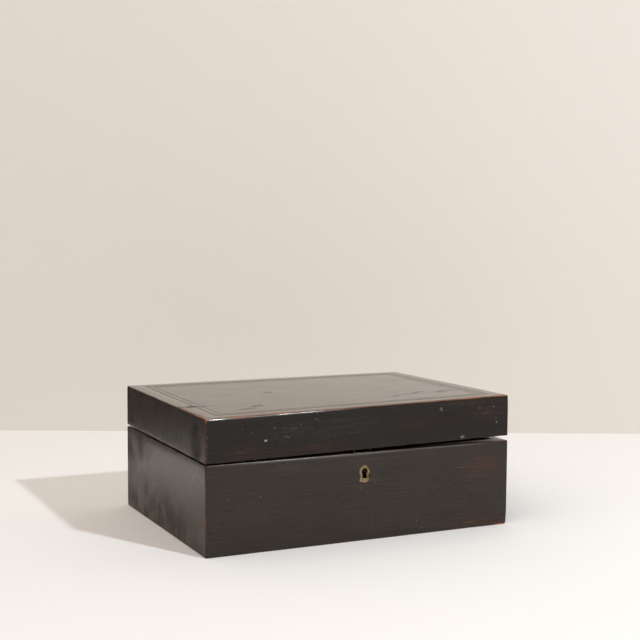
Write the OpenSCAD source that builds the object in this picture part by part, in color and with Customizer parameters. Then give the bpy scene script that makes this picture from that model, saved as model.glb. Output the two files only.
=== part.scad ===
// Wooden box with a hinged lid and a box lock.
//
// A mitred case and a mitred lid frame, each closed by a board let into a rebate. The lid has
// taken a slight twist with age, so it rests a little proud of the rim at three corners. Its
// top is banded: a broad outer band, a narrow inner band and a field, with fine stringing
// between them. A bolt lock is let into the front board behind an inlaid brass escutcheon.
//
// Millimetres. X runs along the front, the front face looks to -Y and Z is up. The origin is
// on the table, under the middle of the case.

/* [Case] */
// Width of the box along its front
box_width = 300; // [240:1:400]
// Depth of the box from front to back
box_depth = 219; // [170:1:300]
// Height of the case, from the table to its rim
case_height = 79; // [60:1:120]
// Thickness of the four case boards and of the four lid rails
board_thickness = 12; // [11:0.5:16]
// Thickness of the bottom board
bottom_thickness = 6; // [4:0.5:9]
// How far the bottom board reaches into the rebate of the case boards
bottom_rebate = 6; // [4:0.5:8]
// Radius to which wear has rounded the upright corners
corner_radius = 1.4; // [0.5:0.1:3]
// Radius to which wear has rounded the bottom edges
arris_radius = 0.8; // [0.3:0.1:1.5]

/* [Lid] */
// Height of the lid, from its lower edge to its top face
lid_height = 38; // [28:1:60]
// Thickness of the board that closes the lid
top_thickness = 7; // [5:0.5:10]
// How far the top board reaches into the rebate of the lid rails
top_rebate = 6; // [4:0.5:8]
// Gap between the rim and the lid at the front left corner
lift_front_left = 1.5; // [0.4:0.1:6]
// Gap between the rim and the lid at the front right corner
lift_front_right = 4.8; // [0.4:0.1:6]
// Gap between the rim and the lid at the back left corner
lift_back_left = 1.8; // [0.4:0.1:2.4]
// Gap between the rim and the lid at the back right corner
lift_back_right = 0.4; // [0.3:0.1:2.4]

/* [Lid veneer] */
// Thickness of the veneers on the lid
veneer_thickness = 1; // [0.6:0.1:1.5]
// Width of the outer band
outer_band_width = 14.4; // [8:0.1:25]
// Width of the inner band
inner_band_width = 5.6; // [3:0.1:12]
// Width of each line of stringing
string_width = 0.6; // [0.4:0.1:1.5]
// Glue line round each veneer
glue_line = 0.05; // [0.02:0.01:0.1]

/* [Hinges] */
// Length of each hinge
hinge_length = 38; // [25:1:60]
// Distance from the side of the box to the middle of each hinge
hinge_from_side = 52; // [35:1:80]
// Thickness of the brass leaves
leaf_thickness = 1.2; // [0.8:0.1:1.6]
// Radius of the hinge pins
pin_radius = 1; // [0.7:0.1:1.3]
// Play between a pin and its knuckles, on the radius
pin_play = 0.03; // [0.02:0.01:0.08]
// Number of knuckles in each hinge
knuckle_count = 5; // [3:2:9]
// Gap between neighbouring knuckles
knuckle_gap = 0.2; // [0.1:0.05:0.4]
// How far the knuckles lie inside the back face
knuckle_inset = 0.4; // [0.2:0.1:1]
// Wood left between a leaf and the inside of the box
leaf_land = 1.2; // [0.8:0.1:2]
// Angle at which the bevelled back edges meet and stop the lid
open_angle = 95; // [90:1:110]

/* [Lock] */
// Length of the lock plate and of the link plate, along the front
plate_length = 50; // [46:1:70]
// Width of the lock's top edge, let into the rim
selvedge_width = 9; // [8.5:0.1:10]
// Height of the lock plate
plate_height = 34; // [32:1:40]
// Thickness of the brass lock plate and link plate
plate_thickness = 1.5; // [1:0.1:2]
// Length of the lock case that holds the bolt
lock_length = 38; // [37:1:42]
// Depth of the lock case, behind the plate
lock_depth = 6.5; // [6.3:0.1:7]
// Distance from the rim to the bottom of the lock case
lock_drop = 29; // [28:0.5:31]
// Thickness of the lock case's sheet
lock_sheet = 1; // [0.6:0.1:1.2]
// Travel of the bolt
bolt_travel = 4.5; // [3:0.1:5]
// Thickness of the bolt
bolt_thickness = 1.8; // [1.2:0.1:2]
// Distance between the two staples that the bolt's hooks pass through
staple_spacing = 16; // [15:0.5:17]
// Radius of the drill pin that the key turns on
drill_pin_radius = 1.2; // [0.8:0.1:1.6]

/* [Escutcheon] */
// Distance from the rim to the middle of the keyhole's round part
keyhole_drop = 17; // [16.5:0.1:18.5]
// Radius of the keyhole's round part
keyhole_radius = 2.8; // [2:0.1:3.4]
// Length of the keyhole below the middle of its round part
keyhole_skirt = 6.4; // [4:0.1:8]
// Radius of the escutcheon's round head
escutcheon_radius = 5.4; // [4.5:0.1:7]
// Length of the escutcheon below the middle of its round head
escutcheon_foot = 10; // [8:0.1:12]
// Thickness of the escutcheon
escutcheon_thickness = 2; // [1:0.1:2.5]

/* [Fastenings] */
// Radius of the brass screws' shanks
screw_radius = 0.9; // [0.7:0.1:1.1]
// Radius of the brass screws' heads
screw_head_radius = 1.7; // [1.4:0.1:2]
// Length of the brass screws
screw_length = 8; // [6:0.5:9]
// Radius of the brads that hold the bottom board
brad_radius = 0.6; // [0.4:0.1:1]
// Length of the brads
brad_length = 18; // [12:1:26]
// Number of brads along the front and along the back
brads_long = 4; // [2:1:8]
// Number of brads along each side
brads_short = 3; // [2:1:6]

/* [Hidden] */

$fn = 48;

// The four sides, counted anticlockwise seen from above
FRONT = 0;
RIGHT = 1;
BACK = 2;
LEFT = 3;

ebonised = [0.16, 0.14, 0.12];
bare_wood = [0.36, 0.20, 0.12];
dark_line = [0.07, 0.06, 0.05];
brass = [0.62, 0.50, 0.28];
steel = [0.42, 0.42, 0.43];

// Play round each piece let into the wood, and of a fastening in its hole
inlay_play = 0.05;
screw_play = 0.02;
// Width and depth of the slot in a screw's head
slot_width = 0.4;
slot_depth = 0.4;
// Running clearance between the bolt and what it slides past
bolt_play = 0.3;
// Overshoot of a cutter past the face that it opens
past = 1;

rim = case_height;
half_width = box_width / 2;
half_depth = box_depth / 2;

// Distance from the middle of the box to the outer face of a side, and half that side's length
function face_distance(side) = side % 2 == 0 ? half_depth : half_width;
function half_length(side) = side % 2 == 0 ? half_width : half_depth;

// Gap between the rim and the lid over a point: straight between the lifts of the corners
function rise(x, y) =
    let (u = x / box_width + 0.5, v = y / box_depth + 0.5)
    (1 - v) * ((1 - u) * lift_front_left + u * lift_front_right)
    + v * ((1 - u) * lift_back_left + u * lift_back_right);

// A point of a side: inward from the outer face, and along from -1 at one mitre to 1 at the next
function side_point(side, inward, along) =
    let (
        x = along * (half_length(side) - inward),
        y = inward - face_distance(side),
        turn = 90 * side
    )
    [x * cos(turn) - y * sin(turn), x * sin(turn) + y * cos(turn)];

// The hinge axis lies in the middle of the gap at the back, inside the back face
knuckle_radius = pin_radius + pin_play + leaf_thickness;
axis_inset = knuckle_radius + knuckle_inset;
axis_y = half_depth - axis_inset;
axis_z = rim + (lift_back_left + lift_back_right) / 4;
leaf_reach = board_thickness - axis_inset - leaf_land;
// Room between a knuckle and the flat of the leaf opposite
knuckle_room = 0.3;
leaf_start = knuckle_radius + knuckle_room;
knuckle_pitch = hinge_length / knuckle_count;
hinge_xs = [-half_width + hinge_from_side, half_width - hinge_from_side];
hinge_screw_xs = [-hinge_length / 3, 0, hinge_length / 3];
// Half the gap left between the stop bevels of the fully open lid
stop_gap = 0.1;
bevel_reach = axis_inset + past;

// Faces of the lock, from the inside of the front board outwards
inner_face = board_thickness - half_depth;
plate_front = inner_face - plate_thickness;
lock_front = plate_front - lock_depth;
bolt_y = plate_front - (lock_depth - lock_sheet) / 2;
key_z = rim - keyhole_drop;
// Underside of the link plate, at the middle of the front rail's lower edge
link_z = rim + rise(0, inner_face);
// The staple: sheet of its loop, width across the loop, and its window below the rim
staple_sheet = 1;
staple_length = 2;
staple_width = bolt_thickness + 2 * (bolt_play + staple_sheet);
staple_play = 0.5;
window_top = 3.8;
window_height = 3.6;
staple_drop = window_top + window_height + staple_sheet;
// The bolt: bar below the staples, arms beside them, and the hooks' reach from the arms
staple_room = 0.6;
hook_lap = 0.1;
bar_top = staple_drop + staple_room;
bar_height = 5.2;
hook_reach = bolt_travel + hook_lap;
arm_width = 3;
hook_gap = staple_length / 2 + staple_room;
talon_width = 6;
talon_depth = 2;
stump_radius = 1.1;
// Gap between a stump's free end and the sheet in front of it
stump_gap = 0.1;
stump_xs = [-9, 9];
spring_sheet = 0.4;
spring_bend = 3;
// Length of the spring's flat end, under the bolt
spring_tip = 6;

// Half width of the keyhole's foot and of the escutcheon's waist, as shares of their round parts
keyhole_flare = 0.95;
escutcheon_waist = 0.66;
// Play by which the hole in the lock case is larger than the keyhole; the wood's is twice that
keyhole_play = 0.1;
// How far the drill pin ends behind the escutcheon
drill_pin_setback = 0.3;

// Distances of the screws from the ends and edges of the lock plate and of the link plate
plate_screw_margin = 3;
plate_screw_top = 6;
link_screw_margin = 5;
plate_screw_x = plate_length / 2 - plate_screw_margin;
plate_screw_drops = [plate_screw_top, plate_height - plate_screw_margin];
link_screw_x = plate_length / 2 - link_screw_margin;
brad_head_radius = 2 * brad_radius;
brad_head_height = brad_radius;
brad_inward = board_thickness - bottom_rebate / 2;

// ---- shared shapes ----

// Places its children on a side: X along the side, Y inward from its outer face
module on_side(side) {
    rotate([0, 0, 90 * side])
        translate([0, -face_distance(side), 0])
            children();
}

// Stands a flat shape up, its X along the front and its Y up, with its thickness centred on y
module upright(y, thickness) {
    translate([0, y + thickness / 2, 0])
        rotate([90, 0, 0])
            linear_extrude(thickness)
                children();
}

// Runs a flat shape along X, its X towards the back and its Y up, from x by length
module along_x(x, length) {
    translate([x, 0, 0])
        rotate([90, 0, 90])
            linear_extrude(length)
                children();
}

// What wear has taken from the upright corners at the two ends of a side
module worn_corners(side, bottom, height) {
    on_side(side)
        for (end = [-1, 1])
            translate([end * (half_length(side) - corner_radius), corner_radius, bottom])
                difference() {
                    translate([end > 0 ? 0 : -2 * corner_radius, -2 * corner_radius, 0])
                        cube([2 * corner_radius, 2 * corner_radius, height]);
                    translate([0, 0, -past])
                        cylinder(r = corner_radius, h = height + 2 * past);
                }
}

// The bevels that let the lid turn and then stop it, cut from the case (-1) or the lid (1)
module stop_bevel(direction) {
    slope = open_angle / 2;
    depth = bevel_reach * tan(slope);
    translate([-half_width - past, axis_y, axis_z])
        rotate([90, 0, 90])
            linear_extrude(box_width + 2 * past)
                polygon([
                    [-stop_gap / sin(slope), 0],
                    [bevel_reach, direction * (depth + stop_gap / cos(slope))],
                    [bevel_reach, -direction * past],
                    [-stop_gap / sin(slope), -direction * past]
                ]);
}

// A countersunk screw, head face at z = 0 and point down, widened by play for its hole
module screw_body(play = 0) {
    head_height = screw_head_radius - screw_radius;
    rotate_extrude()
        polygon([
            [0, 0],
            [screw_head_radius + play, 0],
            [screw_radius + play, -head_height],
            [screw_radius + play, 2 * screw_radius - screw_length],
            [0, -screw_length - play]
        ]);
}

// A slotted screw, head up at z = 0
module screw() {
    difference() {
        screw_body();
        translate([-screw_head_radius, -slot_width / 2, -slot_depth])
            cube([2 * screw_head_radius, slot_width, slot_depth + past]);
    }
}

// The hole of a screw, with its countersink open upwards
module screw_hole() {
    screw_body(screw_play);
    cylinder(r = screw_head_radius + screw_play, h = past);
}

// ---- case ----

// Section of a case board: X inward, Y up, with the rebate and the worn bottom edge
module board_section() {
    difference() {
        square([board_thickness, case_height]);
        translate([board_thickness - bottom_rebate, -past])
            square([bottom_rebate + past, bottom_thickness + past]);
        difference() {
            translate([-past, -past])
                square([arris_radius + past, arris_radius + past]);
            translate([arris_radius, arris_radius])
                circle(arris_radius);
        }
    }
}

// One case board, mitred at both ends
module case_board(side) {
    length = half_length(side);
    difference() {
        on_side(side)
            intersection() {
                along_x(-length, 2 * length)
                    board_section();
                linear_extrude(case_height)
                    polygon([
                        [-length, 0],
                        [length, 0],
                        [length - board_thickness, board_thickness],
                        [board_thickness - length, board_thickness]
                    ]);
            }
        worn_corners(side, -past, case_height + 2 * past);
        brads(brad_play = screw_play);
        stop_bevel(-1);
    }
}

module front_board() {
    color(ebonised)
        difference() {
            case_board(FRONT);
            lock_mortise();
            inlay(escutcheon_thickness)
                escutcheon_outline(inlay_play);
            upright(-half_depth, board_thickness)
                keyhole_outline(2 * keyhole_play);
            lock_screw_holes();
        }
}

module right_board() {
    color(ebonised)
        case_board(RIGHT);
}

module back_board() {
    color(ebonised)
        difference() {
            case_board(BACK);
            for (x = hinge_xs)
                leaf_mortise(x, -1);
        }
}

module left_board() {
    color(ebonised)
        case_board(LEFT);
}

module bottom_board() {
    inset = board_thickness - bottom_rebate + inlay_play;
    color(bare_wood)
        difference() {
            translate([inset - half_width, inset - half_depth, 0])
                cube([box_width - 2 * inset, box_depth - 2 * inset, bottom_thickness]);
            brads(brad_play = screw_play);
        }
}

// The brads, driven up through the bottom board into the case boards
module brads(brad_play = 0) {
    for (side = [FRONT : LEFT]) {
        count = side % 2 == 0 ? brads_long : brads_short;
        reach = half_length(side) - 2 * board_thickness;
        for (i = [0 : count - 1])
            on_side(side)
                translate([reach * (2 * i / (count - 1) - 1), brad_inward, 0]) {
                    cylinder(r = brad_radius + brad_play, h = brad_length + brad_play);
                    translate([0, 0, -brad_play])
                        cylinder(r = brad_head_radius + brad_play, h = brad_head_height + 2 * brad_play);
                }
    }
}

module bottom_brads() {
    color(steel)
        brads();
}

// ---- escutcheon and lock ----

// A keyhole: a round part over a skirt that widens to a curved end
module keyhole_outline(play = 0) {
    translate([0, key_z]) {
        circle(keyhole_radius + play);
        intersection() {
            circle(keyhole_skirt + play);
            polygon([
                [-keyhole_radius / 2 - play, 0],
                [keyhole_radius / 2 + play, 0],
                [keyhole_radius * keyhole_flare + play, -keyhole_skirt - past],
                [-keyhole_radius * keyhole_flare - play, -keyhole_skirt - past]
            ]);
        }
    }
}

// The escutcheon: a round head, a slight waist and a foot that widens to a curved end
module escutcheon_outline(play = 0) {
    translate([0, key_z]) {
        circle(escutcheon_radius + play);
        intersection() {
            circle(escutcheon_foot + play);
            polygon([
                [-escutcheon_radius * escutcheon_waist - play, 0],
                [escutcheon_radius * escutcheon_waist + play, 0],
                [escutcheon_radius + play, -escutcheon_foot - play],
                [-escutcheon_radius - play, -escutcheon_foot - play]
            ]);
        }
    }
}

// Sinks a flat shape into the front face by a depth
module inlay(depth) {
    upright(depth / 2 - half_depth, depth)
        children();
}

module escutcheon() {
    color(brass)
        inlay(escutcheon_thickness)
            difference() {
                escutcheon_outline();
                keyhole_outline();
            }
}

// A box of the lock, centred on the keyhole: from y by depth, and from the rim down by drop
module lock_box(length, y, depth, drop) {
    translate([-length / 2, y, rim - drop])
        cube([length, depth, drop]);
}

// The mortise: room for the plate, its top edge, and the case with the swing of the staples
module lock_mortise() {
    length = plate_length + 2 * inlay_play;
    translate([0, 0, past]) {
        lock_box(length, inner_face - selvedge_width - inlay_play, selvedge_width + past,
            plate_thickness + past);
        lock_box(length, plate_front, plate_thickness + past, plate_height + inlay_play + past);
        lock_box(lock_length + 2 * inlay_play, lock_front - inlay_play, lock_depth + past,
            lock_drop + inlay_play + past);
    }
}

module at_lock_screws() {
    for (side = [-1, 1], drop = plate_screw_drops)
        translate([side * plate_screw_x, inner_face, rim - drop])
            rotate([-90, 0, 0])
                children();
}

module lock_screw_holes() {
    at_lock_screws()
        screw_hole();
}

// The plate on the inner face of the front board, with the top edge that lies in the rim
module lock_plate() {
    color(brass)
        difference() {
            union() {
                lock_box(plate_length, plate_front, plate_thickness, plate_height);
                lock_box(plate_length, inner_face - selvedge_width, selvedge_width, plate_thickness);
            }
            for (side = [-1, 1])
                staple_slot(side);
            lock_screw_holes();
            for (x = stump_xs)
                stump(x, screw_play);
            rivet_end(drill_pin_radius + screw_play);
        }
}

// Slot in the top edge through which a staple swings
module staple_slot(side) {
    length = staple_length + 2 * staple_play;
    width = staple_width + 2 * staple_play;
    translate([side * staple_spacing / 2 - length / 2, bolt_y - width / 2, rim - plate_thickness - past])
        cube([length, width, plate_thickness + 2 * past]);
}

// The tray that closes the lock towards the front, open under the plate's top edge
module lock_case() {
    top = plate_thickness + inlay_play;
    color(steel)
        difference() {
            translate([-lock_length / 2, lock_front, rim - lock_drop])
                cube([lock_length, lock_depth, lock_drop - top]);
            translate([lock_sheet - lock_length / 2, lock_front + lock_sheet, rim - lock_drop + lock_sheet])
                cube([lock_length - 2 * lock_sheet, lock_depth, lock_drop]);
            upright(lock_front, 4 * lock_sheet)
                keyhole_outline(keyhole_play);
        }
}

// The bolt's outline, unlocked: the bar, the two arms and the hooks that pass the staples
module bolt_outline() {
    hook_height = window_height - 2 * bolt_play;
    hook_drop = window_top + bolt_play + hook_height;
    left = -staple_spacing / 2 - hook_gap - hook_reach - arm_width;
    right = lock_length / 2 - lock_sheet - bolt_travel - 2 * bolt_play;
    translate([0, rim])
        difference() {
            union() {
                translate([left, -bar_top - bar_height])
                    square([right - left, bar_height]);
                for (side = [-1, 1])
                    translate([side * staple_spacing / 2 - hook_gap - hook_reach, 0]) {
                        translate([-arm_width, -bar_top - bar_height / 2])
                            square([arm_width, bar_top + bar_height / 2 - hook_drop + hook_height]);
                        translate([-arm_width, -hook_drop])
                            square([arm_width + hook_reach, hook_height]);
                    }
            }
            translate([-talon_width / 2 - bolt_travel / 2, -bar_top - bar_height - past])
                square([talon_width, talon_depth + past]);
            for (x = stump_xs)
                guide_slot(x);
        }
}

// Slot in the bolt in which a fixed stump guides it
module guide_slot(x) {
    radius = stump_radius + bolt_play;
    translate([x, -bar_top - bar_height / 2]) {
        circle(radius);
        translate([-bolt_travel, 0])
            circle(radius);
        translate([-bolt_travel, -radius])
            square([bolt_travel, 2 * radius]);
    }
}

module lock_bolt() {
    color(steel)
        upright(bolt_y, bolt_thickness)
            bolt_outline();
}

// A stump riveted in the plate, reaching almost to the case's sheet
module stump(x, play = 0) {
    translate([x, inner_face - plate_thickness / 2, rim - bar_top - bar_height / 2])
        rotate([90, 0, 0])
            cylinder(r = stump_radius + play, h = plate_thickness / 2 + lock_depth - lock_sheet - stump_gap);
}

module bolt_stumps() {
    color(steel)
        for (x = stump_xs)
            stump(x);
}

// The pin that the key turns on, from its seat in the plate to just behind the escutcheon
module rivet_end(radius) {
    front = escutcheon_thickness + drill_pin_setback;
    translate([0, inner_face - plate_thickness / 2, key_z])
        rotate([90, 0, 0])
            cylinder(r = radius, h = board_thickness - plate_thickness / 2 - front);
}

module drill_pin() {
    color(steel)
        rivet_end(drill_pin_radius);
}

// A bent leaf that stands on the case's right wall and bears up on the bolt
module bolt_spring() {
    wall_x = lock_length / 2 - lock_sheet;
    top = -bar_top - bar_height - bolt_play;
    color(steel)
        upright(bolt_y, bolt_thickness)
            translate([0, rim]) {
                translate([wall_x - spring_sheet, lock_sheet - lock_drop])
                    square([spring_sheet, lock_drop - lock_sheet + top - spring_bend]);
                translate([wall_x - spring_bend, top - spring_bend])
                    intersection() {
                        difference() {
                            circle(spring_bend);
                            circle(spring_bend - spring_sheet);
                        }
                        square([spring_bend, spring_bend]);
                    }
                translate([wall_x - spring_bend - spring_tip, top - spring_sheet])
                    square([spring_tip, spring_sheet]);
            }
}

module lock_screws() {
    color(brass)
        at_lock_screws()
            screw();
}

// ---- hinges ----

// Section of a leaf that carries a knuckle: X back from the axis, Y up; the lid's is mirrored
module knuckle_section() {
    difference() {
        union() {
            circle(knuckle_radius);
            translate([-leaf_reach, -knuckle_radius])
                square([leaf_reach, leaf_thickness]);
        }
        circle(pin_radius + pin_play);
    }
}

// One leaf of the hinge at x, with every second knuckle from first; down is -1 and up is 1
module leaf(x, first, direction) {
    translate([0, axis_y, axis_z])
        mirror([0, 0, direction > 0 ? 1 : 0])
            difference() {
                union() {
                    for (i = [first : 2 : knuckle_count - 1])
                        along_x(x - hinge_length / 2 + i * knuckle_pitch + knuckle_gap / 2,
                            knuckle_pitch - knuckle_gap)
                            knuckle_section();
                    translate([x - hinge_length / 2 + knuckle_gap / 2, -leaf_reach, -knuckle_radius])
                        cube([hinge_length - knuckle_gap, leaf_reach - leaf_start, leaf_thickness]);
                }
                for (offset = hinge_screw_xs)
                    translate([x + offset, -(leaf_reach + leaf_start) / 2, leaf_thickness - knuckle_radius])
                        screw_hole();
            }
}

// Places its children at the screws of the hinge at x, in the case (-1) or in the lid (1)
module at_hinge_screws(x, direction) {
    translate([0, axis_y, axis_z])
        mirror([0, 0, direction > 0 ? 1 : 0])
            for (offset = hinge_screw_xs)
                translate([x + offset, -(leaf_reach + leaf_start) / 2, leaf_thickness - knuckle_radius])
                    children();
}

// What is cut from the wood for a leaf, its knuckles and its screws
module leaf_mortise(x, direction) {
    length = hinge_length + 2 * inlay_play;
    translate([x - length / 2, axis_y, axis_z]) {
        translate([0, -leaf_reach - inlay_play, direction > 0 ? -2 * past : -knuckle_radius])
            cube([length, leaf_reach + inlay_play, knuckle_radius + 2 * past]);
        rotate([0, 90, 0])
            cylinder(r = leaf_start, h = length);
    }
    at_hinge_screws(x, direction)
        screw_hole();
}

module hinge_pin(x) {
    color(steel)
        translate([x - hinge_length / 2 + knuckle_gap / 2, axis_y, axis_z])
            rotate([0, 90, 0])
                cylinder(r = pin_radius, h = hinge_length - knuckle_gap);
}

module hinge_case_leaf_left() {
    color(brass)
        leaf(hinge_xs[0], 0, -1);
}

module hinge_case_leaf_right() {
    color(brass)
        leaf(hinge_xs[1], 0, -1);
}

module hinge_lid_leaf_left() {
    color(brass)
        leaf(hinge_xs[0], 1, 1);
}

module hinge_lid_leaf_right() {
    color(brass)
        leaf(hinge_xs[1], 1, 1);
}

module hinge_pin_left() {
    hinge_pin(hinge_xs[0]);
}

module hinge_pin_right() {
    hinge_pin(hinge_xs[1]);
}

module hinge_case_screws() {
    color(brass)
        for (x = hinge_xs)
            at_hinge_screws(x, -1)
                screw();
}

module hinge_lid_screws() {
    color(brass)
        for (x = hinge_xs)
            at_hinge_screws(x, 1)
                screw();
}

// ---- lid ----

// Two triangles for each four-sided patch of a strip's skin
function patch(a, b, c, d) = [[a, d, c], [a, c, b]];

// A mitred strip along a side of the lid that follows the lid's twist. The section is a list of
// [inward, height above the lid's lower edge], anticlockwise.
module lid_strip(side, section) {
    count = len(section);
    steps = 6;
    points = [
        for (i = [0 : steps], p = section)
            let (at = side_point(side, p[0], 2 * i / steps - 1))
            [at[0], at[1], rim + p[1] + rise(at[0], at[1])]
    ];
    skin = [
        for (i = [0 : steps - 1], j = [0 : count - 1])
            let (next = (j + 1) % count)
            each patch(i * count + j, i * count + next,
                (i + 1) * count + next, (i + 1) * count + j)
    ];
    start_cap = [for (j = [0 : count - 1]) j];
    end_cap = [for (j = [count - 1 : -1 : 0]) steps * count + j];
    difference() {
        polyhedron(points, concat([start_cap, end_cap], skin));
        worn_corners(side, rim - past, lid_height + lift_front_right + lift_front_left + 2 * past);
    }
}

// A panel of the lid that follows the lid's twist, between two heights, inset from all sides
module lid_panel(inset, bottom, top) {
    steps = 8;
    row = steps + 1;
    layer = row * row;
    points = [
        for (height = [bottom, top], j = [0 : steps], i = [0 : steps])
            let (
                x = (half_width - inset) * (2 * i / steps - 1),
                y = (half_depth - inset) * (2 * j / steps - 1)
            )
            [x, y, rim + height + rise(x, y)]
    ];
    faces = concat(
        [for (i = [0 : steps - 1], j = [0 : steps - 1]) let (k = j * row + i)
            each patch(k, k + row, k + row + 1, k + 1)],
        [for (i = [0 : steps - 1], j = [0 : steps - 1]) let (k = layer + j * row + i)
            each patch(k, k + 1, k + row + 1, k + row)],
        [for (i = [0 : steps - 1])
            each patch(i, i + 1, layer + i + 1, layer + i)],
        [for (i = [0 : steps - 1]) let (k = steps * row + i)
            each patch(k, layer + k, layer + k + 1, k + 1)],
        [for (j = [0 : steps - 1]) let (k = j * row)
            each patch(k, layer + k, layer + k + row, k + row)],
        [for (j = [0 : steps - 1]) let (k = j * row + steps)
            each patch(k, k + row, layer + k + row, layer + k)]
    );
    polyhedron(points, faces);
}

rail_top = lid_height - veneer_thickness;

// One lid rail, with the rebate that the top board lies in. Points in line with the rebate's
// corner divide the mitred ends into plain rectangles.
module lid_rail(side) {
    shoulder = rail_top - top_thickness;
    ledge = board_thickness - top_rebate;
    difference() {
        lid_strip(side, [
            [0, 0],
            [ledge, 0],
            [board_thickness, 0],
            [board_thickness, shoulder],
            [ledge, shoulder],
            [ledge, rail_top],
            [0, rail_top],
            [0, shoulder]
        ]);
        stop_bevel(1);
    }
}

module lid_front_rail() {
    color(ebonised)
        difference() {
            lid_rail(FRONT);
            link_mortise();
        }
}

module lid_right_rail() {
    color(ebonised)
        lid_rail(RIGHT);
}

module lid_back_rail() {
    color(ebonised)
        difference() {
            lid_rail(BACK);
            for (x = hinge_xs)
                leaf_mortise(x, 1);
        }
}

module lid_left_rail() {
    color(ebonised)
        lid_rail(LEFT);
}

module lid_top_board() {
    color(bare_wood)
        lid_panel(board_thickness - top_rebate + inlay_play, rail_top - top_thickness + glue_line,
            rail_top);
}

// Section of a veneer strip between two distances inward
function veneer_section(from, to) = [
    [from, rail_top + glue_line],
    [to, rail_top + glue_line],
    [to, lid_height],
    [from, lid_height]
];

// Section of the outer band, its outer edge rounded by wear
function worn_veneer_section(to) =
    let (radius = veneer_thickness - 2 * glue_line)
    concat(
        [[0, rail_top + glue_line], [to, rail_top + glue_line], [to, lid_height]],
        [for (angle = [90 : 22.5 : 180])
            [radius + radius * cos(angle), lid_height - radius + radius * sin(angle)]]
    );

first_string = outer_band_width;
inner_band_from = first_string + string_width + 2 * glue_line;
second_string = inner_band_from + inner_band_width + glue_line;
field_from = second_string + string_width + glue_line;

module outer_band(side) {
    color(ebonised)
        lid_strip(side, worn_veneer_section(outer_band_width));
}

module inner_band(side) {
    color(ebonised)
        lid_strip(side, veneer_section(inner_band_from, inner_band_from + inner_band_width));
}

module stringing(from) {
    color(dark_line)
        for (side = [FRONT : LEFT])
            lid_strip(side, veneer_section(from, from + string_width));
}

module outer_band_front() {
    outer_band(FRONT);
}

module outer_band_right() {
    outer_band(RIGHT);
}

module outer_band_back() {
    outer_band(BACK);
}

module outer_band_left() {
    outer_band(LEFT);
}

module inner_band_front() {
    inner_band(FRONT);
}

module inner_band_right() {
    inner_band(RIGHT);
}

module inner_band_back() {
    inner_band(BACK);
}

module inner_band_left() {
    inner_band(LEFT);
}

module outer_stringing() {
    stringing(first_string + glue_line);
}

module inner_stringing() {
    stringing(second_string);
}

module field_veneer() {
    color(ebonised)
        lid_panel(field_from, rail_top + glue_line, lid_height);
}

// ---- link plate ----

module link_blank(play = 0) {
    translate([-plate_length / 2 - play, inner_face - selvedge_width - play, link_z])
        cube([plate_length + 2 * play, selvedge_width + play, plate_thickness]);
}

module at_link_screws() {
    for (side = [-1, 1])
        translate([side * link_screw_x, inner_face - selvedge_width / 2, link_z])
            mirror([0, 0, 1])
                children();
}

// Room for the link plate in the twisted lower edge of the front rail
module link_mortise() {
    translate([0, 0, -past])
        link_blank(inlay_play);
    link_blank(inlay_play);
    at_link_screws()
        screw_hole();
}

// A staple: a loop under the link plate, its window open along X for the bolt's hook
module staple(side) {
    bottom = rim - staple_drop;
    translate([side * staple_spacing / 2 - staple_length / 2, bolt_y - staple_width / 2, bottom])
        difference() {
            cube([staple_length, staple_width, link_z - bottom]);
            translate([-past, staple_sheet, staple_sheet])
                cube([staple_length + 2 * past, staple_width - 2 * staple_sheet, window_height]);
        }
}

module link_plate() {
    color(brass)
        difference() {
            union() {
                link_blank();
                staple(-1);
                staple(1);
            }
            at_link_screws()
                screw_hole();
        }
}

module link_screws() {
    color(brass)
        at_link_screws()
            screw();
}

front_board();
right_board();
back_board();
left_board();
bottom_board();
bottom_brads();
escutcheon();
lock_plate();
lock_case();
lock_bolt();
drill_pin();
bolt_stumps();
bolt_spring();
lock_screws();
hinge_case_leaf_left();
hinge_case_leaf_right();
hinge_pin_left();
hinge_pin_right();
hinge_case_screws();
lid_front_rail();
lid_right_rail();
lid_back_rail();
lid_left_rail();
lid_top_board();
outer_band_front();
outer_band_right();
outer_band_back();
outer_band_left();
inner_band_front();
inner_band_right();
inner_band_back();
inner_band_left();
outer_stringing();
inner_stringing();
field_veneer();
link_plate();
link_screws();
hinge_lid_leaf_left();
hinge_lid_leaf_right();
hinge_lid_screws();
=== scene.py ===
"""The looks of a black-stained wooden box with a twisted hinged lid, a box lock and an escutcheon.

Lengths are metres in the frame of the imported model: X runs along the front, the front face
looks to -Y, Z is up, and the origin is on the table under the middle of the box. Sizes that
are repeated from the part are written in millimetres and turned into metres by MM.
"""

import logging
import math
from collections.abc import Iterable, Sequence
from dataclasses import dataclass
from enum import Enum
from typing import ClassVar

import bmesh
import bpy
import numpy as np
from mathutils import Matrix, Vector


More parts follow.
